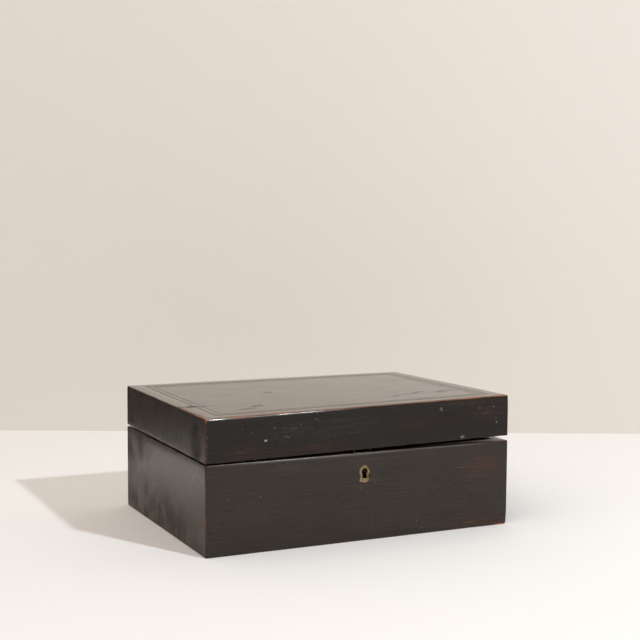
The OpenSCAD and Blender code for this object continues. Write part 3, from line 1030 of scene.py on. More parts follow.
@dataclass
class Surface:
    """One material under way: its tree, its Object coordinates and its shader."""

    material: Material
    tree: Tree
    position: Link
    shader: bpy.types.Node

    @classmethod
    def named(cls, name: str) -> "Surface":
        """Starts a material with a Principled shader.

        Args:
            name: The material's name.

        Returns:
            The surface.
        """
        material = bpy.data.materials.new(name)
        material.use_nodes = True
        material.node_tree.nodes.clear()
        tree = Tree(material.node_tree)
        position = tree.add("ShaderNodeTexCoord").outputs["Object"]
        shader = tree.add("ShaderNodeBsdfPrincipled")
        output = tree.add("ShaderNodeOutputMaterial")
        material.node_tree.links.new(shader.outputs[0], output.inputs["Surface"])
        return cls(material, tree, position, shader)

    def use(self, group: Group, **inputs: Value) -> Outputs:
        """Places a group, which works from the surface's position, and gives its outputs."""
        node = self.tree.add("ShaderNodeGroup", node_tree=group)
        return self.tree.fill(node, Position=self.position, **inputs)

    def noise(self, scale: float, detail: float, roughness: float = 0.55) -> Link:
        """A noise over the surface, about one half."""
        return self.tree.noise(self.position, scale, detail, roughness)

    def feed(self, **inputs: Value) -> None:
        """Sets or links the shader's inputs, named with _ for a space."""
        self.tree.fill(self.shader, **inputs)

    def bump(self, height: Link, distance: float) -> None:
        """Feeds a height through a Bump node to the shader's normal."""
        inputs = {"Height": height, "Distance": distance, "Strength": 1.0}
        self.feed(Normal=self.tree.add("ShaderNodeBump", inputs).outputs["Normal"])


def in_metres(place: Place) -> Place:
    """Turns a place in millimetres into metres."""
    return tuple(value * MM for value in place)


@dataclass(frozen=True)
class EbonisedWood:
    """Wood stained black and polished, rubbed through to red-brown wood along its edges."""

    face: Face
    grain: Grain
    sizes: BoxSizes
    worn: tuple[Patch, ...] = ()
    thin: tuple[Patch, ...] = ()
    # Patches where the top edge is burnished to a gloss and a highlight is painted into its colour.
    burnish_and_highlight: tuple[Patch, ...] = ()
    # Patches where a sheen is painted into the colour.
    painted_sheen_places: tuple[Patch, ...] = ()
    matt: tuple[Patch, ...] = ()
    marks: tuple[Mark, ...] = ()
    scuffs: Colour = (0.22, 0.19, 0.15)
    # The paler colour of the painted sheen, which stands in for a reflection of the lit table.
    painted_sheen: Colour = (0.140, 0.116, 0.090)
    # Pale rubbed wood with a painted highlight, for the front half of the top edge's rounding.
    rubbed_edge_and_highlight: Colour = (0.38, 0.27, 0.20)
    red_wood: Colour = (0.105, 0.034, 0.016)
    orange_wood: Colour = (0.34, 0.120, 0.038)
    pale_scar: Colour = (0.42, 0.40, 0.33)
    dark_scar: Colour = (0.016, 0.0085, 0.005)
    inside_wood: Colour = (0.11, 0.048, 0.027)
    inside_dark: Colour = (0.064, 0.0235, 0.0155)
    clouds_per_metre: float = 34.0
    specks_per_metre: float = 170.0
    speckles_per_metre: float = 480.0
    worn_patches_per_metre: float = 95.0
    splinters_per_metre: float = 900.0
    relief_per_metre: float = 160.0
    relief: float = 0.02 * MM
    scar_depth: float = 8.0
    scar_roughness: float = 0.42
    coat_roughness: float = 0.27
    coat_ior: float = 3.0
    worn_everywhere: float = 0.28 * MM
    worn_at_place: float = 0.7 * MM
    worn_raggedness: float = 0.45 * MM

    def material(self) -> Material:
        """Builds the finish: stain, painted sheen and edge highlight, edge wear, marks, and bare
        wood inside.

        Returns:
            The material.
        """
        polish = self.face.value
        surface = Surface.named(f"ebonised_{self.face.name.lower()}_{self.grain.name.lower()}")
        tree = surface.tree
        grain = surface.use(EFFECTS.grain, Along=self.grain.value)
        edges = self._edges(surface)
        arris = self._arris(tree, edges)
        cloud = surface.noise(self.clouds_per_metre, 4.0, 0.6)
        patches = grain["Bands"]
        if self.grain is Grain.UPRIGHT:
            patches = tree.blend(0.7, patches, cloud)
        streaky = tree.step(grain["Fibres"], 0.40, 0.62, 0.15, 1.0)
        blotchy = tree.step(patches, 0.36, 0.6, 0.3, 1.0)

        colour = self._stain(surface, grain, cloud, (streaky, blotchy))
        # Painted sheen: patches of a paler colour, broken by grain and speckle, stand in for the
        # lit table's reflection on the faces.
        painted_sheen_mask = tree.times(self._cover(surface, self.painted_sheen_places), blotchy)
        speckles = surface.noise(self.speckles_per_metre, 4.0, 0.65)
        painted_sheen_mask = tree.times(painted_sheen_mask, tree.step(speckles, 0.42, 0.64, 0.45, 1.7))
        colour = tree.mix(tree.times(painted_sheen_mask, streaky, clamp=True), colour, self.painted_sheen)
        # Painted highlight: along the front half of the top edge's rounding the colour is
        # lightened, partly pale rubbed wood and partly painted highlight; the coat there is real
        # gloss.
        burnish_and_highlight = self._cover(surface, self.burnish_and_highlight)
        burnish_and_highlight = tree.times(arris["front"], burnish_and_highlight, clamp=True)
        colour = tree.mix(tree.times(burnish_and_highlight, 0.30), colour, self.rubbed_edge_and_highlight)
        wear, bare = self._wear(surface, edges["Edge"], arris)
        worn_wood = tree.mix(bare, self.red_wood, self.orange_wood)
        worn_wood = tree.mix(tree.times(grain["Pores"], 0.6), worn_wood, polish.black)
        colour = tree.mix(wear, colour, worn_wood)
        scars = self._scars(surface)
        for scar_colour, scar in scars.values():
            colour = tree.mix(scar, colour, scar_colour)
        inside = self._inside(tree, edges)
        inner = tree.mix(tree.step(grain["Fibres"], 0.3, 0.75), self.inside_wood, self.inside_dark)
        colour = tree.mix(inside, colour, inner)

        matt = tree.times(self._cover(surface, self.matt), blotchy)
        rough = tree.total(
            polish.roughness,
            tree.step(cloud, 0.4, 0.75, -0.02, 0.03),
            tree.step(grain["Fibres"], 0.4, 0.75, -0.02, 0.05),
            tree.times(wear, 0.4),
            tree.times(inside, 0.3),
            tree.times(matt, 0.34),
        )
        unevenness = surface.noise(self.relief_per_metre, 3.0)
        height = tree.total(tree.times(grain["Height"], 0.34), unevenness)
        if Damage.DARK in scars:
            _, scar = scars[Damage.DARK]
            height = tree.minus(height, tree.times(scar, self.scar_depth))
            rough = tree.total(rough, tree.times(scar, self.scar_roughness))
        surface.feed(Base_Color=colour, Roughness=rough, IOR=polish.ior)
        surface.feed(
            Coat_Weight=burnish_and_highlight, Coat_Roughness=self.coat_roughness, Coat_IOR=self.coat_ior
        )
        surface.bump(height, self.relief)
        return surface.material

    def _stain(
        self,
        surface: Surface,
        grain: Outputs,
        cloud: Link,
        textures: tuple[Link, Link],
    ) -> Link:
        """The black: dulled in clouds and along fibres, thin in places, with a few pale specks.

        Args:
            surface: The material under way.
            grain: The outputs of the grain group.
            cloud: The noise that dulls it.
            textures: What breaks up the thin places along fibres and in patches.

        Returns:
            The colour.
        """
        tree, polish = surface.tree, self.face.value
        streaky, blotchy = textures
        dulled = tree.times(tree.step(cloud, 0.35, 0.72), 0.5)
        stain = tree.mix(dulled, polish.black, polish.dulled)
        streaked = tree.times(tree.step(grain["Fibres"], 0.42, 0.7), 0.7)
        stain = tree.mix(streaked, stain, polish.dulled)
        thin = tree.times(tree.step(grain["Bands"], 0.54, 0.74), 0.45)
        thin = tree.total(thin, *self._masks(surface, self.thin))
        thin = tree.times(tree.times(thin, streaky), blotchy, clamp=True)
        colour = tree.mix(thin, stain, polish.thin)
        specks = surface.use(EFFECTS.specks, Per_Metre=self.specks_per_metre, Share=0.03, Size=0.17)
        return tree.mix(tree.times(specks["Mask"], 0.7), colour, self.scuffs)

    def _inside(self, tree: Tree, edges: Outputs) -> Link:
        """Where the wood is inside the box, and so was never stained.

        That is as far in from the outline as the board is thick, and in the lid also below the
        middle of the top board.

        Args:
            tree: The material's tree.
            edges: The outputs of the group of distances.

        Returns:
            The mask.
        """
        board = self.sizes.board
        inside = tree.step(edges["Inward"], 0.93 * board, 0.985 * board)
        if not self.face.value.on_lid:
            return inside
        under_top = self.sizes.rail_top - 0.5 * self.sizes.top_board
        return tree.times(inside, tree.math("LESS_THAN", edges["Above Foot"], under_top))

    @property
    def _shell_height(self) -> float:
        """Height of the half of the box that the face belongs to."""
        return self.sizes.lid_height if self.face.value.on_lid else self.sizes.rim

    def _edges(self, surface: Surface) -> Outputs:
        """The distances of a place to the edges and sides of this half of the box.

        Args:
            surface: The material under way.

        Returns:
            The outputs of the group of distances.
        """
        sizes = self.sizes
        foot, by_x, by_y, by_xy = sizes.rise_terms()
        twist = {"Foot": sizes.rim + foot, "Rise_X": by_x, "Rise_Y": by_y, "Rise_XY": by_xy}
        return surface.use(
            EFFECTS.edges,
            Half_Size=(sizes.width / 2, sizes.depth / 2, 0.0),
            Height=self._shell_height,
            **(twist if self.face.value.on_lid else {}),
        )

    def _masks(self, surface: Surface, patches: Sequence[Patch]) -> list[Link]:
        """Shows patches in a finish.

        Args:
            surface: The material under way.
            patches: The patches.

        Returns:
            The mask of each.
        """
        return [
            surface.use(
                EFFECTS.place,
                Centre=in_metres(patch.centre),
                Reach=in_metres(patch.reach),
                Strength=patch.strength,
            )["Mask"]
            for patch in patches
        ]

    def _cover(self, surface: Surface, patches: Sequence[Patch]) -> Value:
        """The sum of the masks of several patches."""
        return surface.tree.total(0.0, *self._masks(surface, patches))

    def _scars(self, surface: Surface) -> dict[Damage, tuple[Colour, Link]]:
        """The colour and the mask of the marks of each kind of damage that there is.

        Args:
            surface: The material under way.

        Returns:
            Colour and mask by kind of damage.
        """
        colours = {
            Damage.PALE: self.pale_scar,
            Damage.ORANGE: self.orange_wood,
            Damage.DARK: self.dark_scar,
        }
        scars = {}
        for damage, colour in colours.items():
            marks = [mark for mark in self.marks if mark.damage is damage]
            if marks:
                masks = [self._mark(surface, mark) for mark in marks]
                scars[damage] = (colour, surface.tree.least(surface.tree.total(*masks), 1.0))
        return scars

    def _mark(self, surface: Surface, mark: Mark) -> Link:
        """The mask of one mark: a dot where it has no length.

        Args:
            surface: The material under way.
            mark: The mark.

        Returns:
            The mask.
        """
        start, end, width = in_metres(mark.start), in_metres(mark.end), mark.width * MM
        group, shape = EFFECTS.stroke, {"Start": start, "End": end, "Width": width}
        if start == end:
            group, shape = EFFECTS.place, {"Centre": start, "Reach": (width / 2,) * 3}
        return surface.use(group, Strength=mark.strength, **shape)["Mask"]

    def _arris(self, tree: Tree, edges: Outputs) -> dict[str, Link]:
        """The two halves of the rounded top edge: the one that faces up, and the other.

        A place on the rounding faces up where it lies further in from the side than down from
        the top.

        Args:
            tree: The material's tree.
            edges: The outputs of the group of distances.

        Returns:
            The masks up and front.
        """
        below = tree.minus(self._shell_height, edges["Above Foot"])
        near = tree.step(below, 1.3 * MM, 2.2 * MM, 1.0, 0.0)
        up = tree.step(tree.minus(edges["Inward"], below), -0.15 * MM, 0.15 * MM)
        up = tree.times(near, up)
        return {"up": up, "front": tree.minus(near, up)}

    def _wear(self, surface: Surface, edge: Link, arris: dict[str, Link]) -> tuple[Link, Link]:
        """Where the stain is rubbed off, and where it is rubbed to pale wood.

        The worn width is a little everywhere and more at each worn place, it is ragged by a fine
        noise, and it fades over a fraction of a millimetre. Over the top edge hands have rubbed
        the upper half of the rounding and kept the other half black.

        Args:
            surface: The material under way.
            edge: Distance to the nearest edge.
            arris: The two halves of the rounded top edge.

        Returns:
            The mask of the wear, and the share of pale wood in it.
        """
        tree = surface.tree
        rubbed = self._cover(surface, self.worn)
        patchy = tree.step(surface.noise(self.worn_patches_per_metre, 3.0, 0.6), 0.36, 0.62)
        ragged = tree.minus(surface.noise(self.splinters_per_metre, 4.0, 0.65), 0.5)
        everywhere = tree.times(patchy, self.worn_everywhere)
        spread = tree.blend(patchy, 0.75, 1.25)
        placed = tree.times(tree.times(rubbed, spread), self.worn_at_place)
        width = tree.total(everywhere, placed)
        reach = tree.total(width, tree.times(ragged, self.worn_raggedness))
        shrunk = tree.times(edge, tree.blend(arris["up"], 1.0, 0.22))
        depth = tree.minus(reach, shrunk)
        shown = tree.step(width, 0.08 * MM, 0.3 * MM)
        wear = tree.times(tree.step(depth, -0.2 * MM, 0.25 * MM), shown)
        wear = tree.times(wear, tree.blend(arris["front"], 1.0, 0.12))
        return wear, tree.step(depth, 0.25 * MM, 1.25 * MM)


@dataclass(frozen=True)
class BareWood:
    """Unstained wood inside and under the box, darkened by age."""

    name: str
    grain: Grain
    light: Colour = (0.17, 0.078, 0.042)
    dark: Colour = (0.075, 0.032, 0.019)
    pores: Colour = (0.02, 0.01, 0.008)
    relief: float = 0.1 * MM

    def material(self) -> Material:
        """Builds the finish.

        Returns:
            The material.
        """
        surface = Surface.named(self.name)
        tree = surface.tree
        grain = surface.use(EFFECTS.grain, Along=self.grain.value)
        colour = tree.mix(tree.step(grain["Bands"], 0.35, 0.7), self.dark, self.light)
        colour = tree.mix(tree.times(tree.step(grain["Fibres"], 0.4, 0.7), 0.5), colour, self.dark)
        colour = tree.mix(tree.times(grain["Pores"], 0.7), colour, self.pores)
        rough = tree.step(grain["Fibres"], 0.3, 0.8, 0.52, 0.72)
        surface.feed(Base_Color=colour, Roughness=rough)
        surface.bump(grain["Height"], self.relief)
        return surface.material


@dataclass(frozen=True)
class StringLine:
    """The thin dark line let in between the bands of the lid."""

    dark: Colour = (0.011, 0.009, 0.007)
    dusty: Colour = (0.062, 0.046, 0.034)
    relief: float = 0.05 * MM

    def material(self) -> Material:
        """Builds the finish: near black, with dust and old polish here and there.

        Returns:
            The material.
        """
        surface = Surface.named("stringing")
        tree = surface.tree
        dust = tree.step(surface.noise(130.0, 4.0, 0.65), 0.4, 0.68)
        colour = tree.mix(dust, self.dark, self.dusty)
        surface.feed(Base_Color=colour, Roughness=tree.blend(dust, 0.5, 0.36))
        surface.bump(surface.noise(1200.0, 3.0), self.relief)
        return surface.material


@dataclass(frozen=True)
class OldMetal:
    """Metal dulled by age: bright where hands rub it, brown and pitted where they do not."""

    name: str
    bright: Colour
    dull: Colour
    pit: Colour
    smooth: float
    rough: float
    scale: float = 1.0
    relief: float = 0.06 * MM

    def material(self) -> Material:
        """Builds the finish.

        Returns:
            The material.
        """
        surface = Surface.named(self.name)
        tree = surface.tree
        tarnish = surface.use(EFFECTS.tarnish, Scale=self.scale)
        share = tree.step(tarnish["Clouds"], 0.38, 0.66)
        colour = tree.mix(share, self.bright, self.dull)
        colour = tree.mix(tree.times(tarnish["Pits"], 0.8), colour, self.pit)
        surface.feed(
            Base_Color=colour,
            Metallic=tree.step(tarnish["Pits"], 0.2, 0.9, 1.0, 0.35),
            Roughness=tree.blend(share, self.smooth, self.rough),
        )
        surface.bump(tarnish["Height"], self.relief)
        return surface.material


@dataclass(frozen=True)
class StageFinish:
    """A matt painted surface of the studio."""

    name: str
    colour: Colour
    shade: Colour
    relief: float = 0.02 * MM

    def material(self) -> Material:
        """Builds the finish: a plain colour with a faint slow unevenness.

        The eye looks through it from behind, so that the box can be seen from every side.

        Returns:
            The material.
        """
        surface = Surface.named(self.name)
        tree = surface.tree
        cloud = surface.noise(3.0, 3.0)
        colour = tree.mix(cloud, self.colour, self.shade)
        surface.feed(Base_Color=colour, Roughness=tree.blend(cloud, 0.8, 0.9))
        surface.bump(surface.noise(900.0, 2.0), self.relief)
        behind = tree.add("ShaderNodeNewGeometry").outputs["Backfacing"]
        eye = tree.add("ShaderNodeLightPath").outputs["Is Camera Ray"]
        surface.feed(Alpha=tree.minus(1.0, tree.times(behind, eye)))
        return surface.material


# ---- pieces ----


@dataclass(frozen=True)
class Hinge:
    """Where one butt hinge is let in, measured from its CAD nodes."""

    middle: float
    length: float
    axis_y: float
    axis_z: float
    knuckle: float
    leaf_reach: float
    end_room: float = 0.15 * MM
    knuckle_room: float = 0.3 * MM
    past: float = 2 * PAST

    @classmethod
    def from_frame(cls, place: str) -> "Hinge":
        """Reads the pin and the case leaf of a hinge.

        Args:
            place: Which hinge, left or right.

        Returns:
            The hinge's measures.
        """
        pin_low, pin_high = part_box(f"hinge_pin_{place}")
        leaf_low, leaf_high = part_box(f"hinge_case_leaf_{place}")
        axis = (pin_low + pin_high) / 2
        return cls(
            middle=axis.x,
            length=leaf_high.x - leaf_low.x,
            axis_y=axis.y,
            axis_z=axis.z,
            knuckle=leaf_high.y - axis.y,
            leaf_reach=axis.y - leaf_low.y,
        )

    def cutters(self, direction: int) -> list[Piece]:
        """Room for a leaf and the knuckles, in the case (-1) or in the lid (1).

        Args:
            direction: Which way the leaf lies from the axis.

        Returns:
            A box for the leaf and a cylinder for the knuckles.
        """
        half = self.length / 2 + self.end_room
        low, high = (-self.knuckle, self.past) if direction < 0 else (-self.past, self.knuckle)
        box = box_cutter(
            (self.middle - half, self.axis_y - self.leaf_reach - FIT, self.axis_z + low),
            (self.middle + half, self.axis_y, self.axis_z + high),
        )
        centre = (self.middle, self.axis_y, self.axis_z)
        return [box, round_cutter(centre, self.knuckle + self.knuckle_room, 2 * half)]


def stop_bevel(sizes: BoxSizes, hinge: Hinge, direction: int) -> Piece:
    """The bevel that lets the lid turn and then stops it, as a cutter.

    In the plane across the hinge's axis it is a wedge whose sloping side passes a little way
    from the axis, at half the opening angle.

    Args:
        sizes: The box's sizes.
        hinge: Any hinge, for the axis.
        direction: The case (-1) or the lid (1).

    Returns:
        The cutter.
    """
    slope = math.radians(sizes.opening_degrees / 2)
    gap = 2 * FIT
    reach = sizes.depth / 2 - hinge.axis_y + PAST
    start = -gap / math.sin(slope)
    outline = np.array(
        [
            [start, 0],
            [reach, direction * (reach * math.tan(slope) + gap / math.cos(slope))],
            [reach, -direction * PAST],
            [start, -direction * PAST],
        ]
    )
    outline += np.array([hinge.axis_y, hinge.axis_z])
    half = sizes.width / 2 + PAST
    return prism(outline, -half, half, (1, 2, 0))


@dataclass(frozen=True)
class KeyPlate:
    """The escutcheon let into the front and the keyhole through it, as reaches from a centre.

    Both outlines are a round head over a part that widens downwards. In a direction, the reach
    is the head's radius or, below, the distance to the sloping side or to the foot, whichever
    side of the head is the farther.
    """

    centre_z: float
    front: float
    head: float = 5.4 * MM
    waist: float = 3.56 * MM
    foot_half: float = 5.4 * MM
    foot: float = 10 * MM
    hole: float = 2.8 * MM
    hole_waist: float = 1.4 * MM
    skirt_half: float = 2.66 * MM
    skirt: float = 6.4 * MM
    skirt_slope: float = 7.4 * MM
    skirt_hollow: float = 0.55 * MM
    thickness: float = 2 * MM
    crown: float = 0.3 * MM
    edge: float = 0.35 * MM
    hole_play: float = 0.25 * MM
    past: float = 5 * MM
    through: float = 20 * MM
    points: int = 240
    plate_ease: int = 5
    hole_ease: int = 3
    edge_steps: int = 4
    face_steps: int = 8
    edge_share: float = 0.45
    longest: float = 1.08

    @property
    def angles(self) -> Array:
        """The directions round the centre."""
        return np.linspace(0, 2 * math.pi, self.points, endpoint=False)

    def _reach(
        self, head: float, waist: float, half: float, drop: float, end: Array | float
    ) -> Array:
        """Reach of an outline: the farther of the head and the nearer of slope and end.

        Args:
            head: The round head's radius.
            waist: Half the width where the sloping sides start, level with the centre.
            half: Half the width at the foot.
            drop: How far the foot lies below the centre.
            end: Reach to the foot in each direction.

        Returns:
            The reach in each direction.
        """
        cosine, sine = np.cos(self.angles), np.sin(self.angles)
        closing = np.abs(cosine) + (half - waist) / drop * sine
        side = waist / np.maximum(closing, 1e-6)
        return np.where(sine < 0, np.maximum(head, np.minimum(side, end)), head)

    def plate_reach(self, play: float = 0.0) -> Array:
        """Reach of the escutcheon's outline, a little rounded where its lines meet."""
        reach = self._reach(self.head, self.waist, self.foot_half, self.foot, self.foot)
        return self._eased(reach, self.plate_ease) + play

    def hole_reach(self, play: float = 0.0) -> Array:
        """Reach of the keyhole's outline, whose lower end bends in at the middle.

        Args:
            play: How much wider than the real outline.

        Returns:
            The reach in each direction.
        """
        down = np.maximum(-np.sin(self.angles), 1e-6)
        half = self.skirt * np.abs(np.cos(self.angles))
        end = (self.skirt - self.skirt_hollow * (1 - np.clip(half / self.skirt_half, 0, 1))) / down
        end = np.minimum(end, self.skirt * self.longest)
        reach = self._reach(self.hole, self.hole_waist, self.skirt_half, self.skirt_slope, end)
        return self._eased(reach, self.hole_ease) + play

    def _eased(self, reach: Array, width: int) -> Array:
        """The running mean of a reach round the circle, over an odd number of directions."""
        shifts = range(-(width // 2), width // 2 + 1)
        return np.mean([np.roll(reach, shift) for shift in shifts], axis=0)

    def _outline(self, reach: Array) -> Array:
        """Points of an outline on the front, x and z."""
        x, z = reach * np.cos(self.angles), self.centre_z + reach * np.sin(self.angles)
        return np.stack([x, z], -1)

    def plate(self) -> Piece:
        """The brass plate: a section from hole to rim, carried round the centre.

        Across the face the section is a low crown with a quarter circle at each edge, worn
        more at the rim; behind, it is flat.

        Returns:
            The escutcheon.
        """
        inner, outer = self.hole_reach(), self.plate_reach()
        turn = np.radians(np.linspace(0, 90, self.edge_steps + 1))
        share = np.linspace(0, 1, self.face_steps + 1)[1:-1]
        width = (outer - inner)[:, None]
        edge = np.minimum(self.edge, self.edge_share * width)
        sunk = self.crown / 2
        wall_in = inner[:, None] + edge * (1 - np.cos(turn))
        depth_in = edge * (1 - np.sin(turn)) + sunk
        face = inner[:, None] + edge + (width - 2 * edge) * share
        depth_face = sunk * (1 - np.sin(np.pi * share)) + 0 * face
        wall_out = outer[:, None] - edge * (1 - np.cos(turn[::-1]))
        depth_out = edge * (1 - np.sin(turn[::-1])) + sunk
        back = np.stack([outer, inner], -1)
        reach = np.hstack([wall_in, face, wall_out, back])
        depth = np.hstack([depth_in, depth_face, depth_out, np.full_like(back, self.thickness)])
        angle = self.angles[:, None]
        x, z = reach * np.cos(angle), self.centre_z + reach * np.sin(angle)
        points = np.stack([x, self.front + depth, z], -1)
        faces = grid_faces(*points.shape[:2], True, True)
        return new_piece("key_plate", points, faces.tolist(), METAL_DEGREES)

    def cutters(self) -> list[Piece]:
        """The room for the plate.

        Returns:
            The recess, and the keyhole through the wood.
        """
        recess = self._outline(self.plate_reach(FIT))
        hole = self._outline(self.hole_reach(self.hole_play))
        before = self.front - self.past
        return [
            prism(recess, before, self.front + self.thickness, (0, 2, 1)),
            prism(hole, before, self.front + self.through, (0, 2, 1)),
        ]


@dataclass
class Half:
    """What case and lid share: the hinges let into the back, and the way round the outline."""

    sizes: BoxSizes
    hinges: tuple[Hinge, Hinge]
    corners: ClassVar[tuple[Corner, ...]] = ()
    inner_edge: ClassVar[float] = 0.35 * MM
    dips: ClassVar[float] = 0.10 * MM

    def __post_init__(self) -> None:
        """Lays out the way round."""
        self.path = SidePath(self.sizes, self.corners)

    def damage(self) -> dict[str, tuple[Patch | Mark, ...]]:
        """Where it has worn and where sheen and highlight are painted, by field of the finish; each
        half has its own.
        """
        return {}

    def _back_cutters(self, side: Side, direction: int) -> list[Piece]:
        """The stop bevel of the sides and the back, and in the back the room for the hinges.

        Args:
            side: The side.
            direction: The case (-1) or the lid (1).

        Returns:
            The cutters.
        """
        bevel = stop_bevel(self.sizes, self.hinges[0], direction)
        if side is not Side.BACK:
            return [bevel]
        return [bevel, *(cutter for hinge in self.hinges for cutter in hinge.cutters(direction))]

    def finish(self, face: Face, grain: Grain) -> Material:
        """The black finish of one kind of face, worn as this half of the box is."""
        return EbonisedWood(face, grain, self.sizes, **self.damage()).material()

    def _outline(self) -> tuple[float, float, float, float]:
        """The places of left, right, front and back in millimetres."""
        half_width, half_depth = self.sizes.width / 2 / MM, self.sizes.depth / 2 / MM
        return -half_width, half_width, -half_depth, half_depth

    def _front_marks(self, damage: Damage, *rows: tuple[float, ...]) -> list[Mark]:
        """Marks on the front, in millimetres.

        Args:
            damage: What they have done to the finish.
            rows: For each the x and z of its start and of its end, its width and its strength.
                A dot has one place only, which is both its start and its end.

        Returns:
            The marks.
        """
        front = self._outline()[2]
        marks = []
        for *place, width, strength in rows:
            x, z, end_x, end_z = (place * 2)[:4]
            marks.append(Mark((x, front, z), (end_x, front, end_z), width, damage, strength))
        return marks


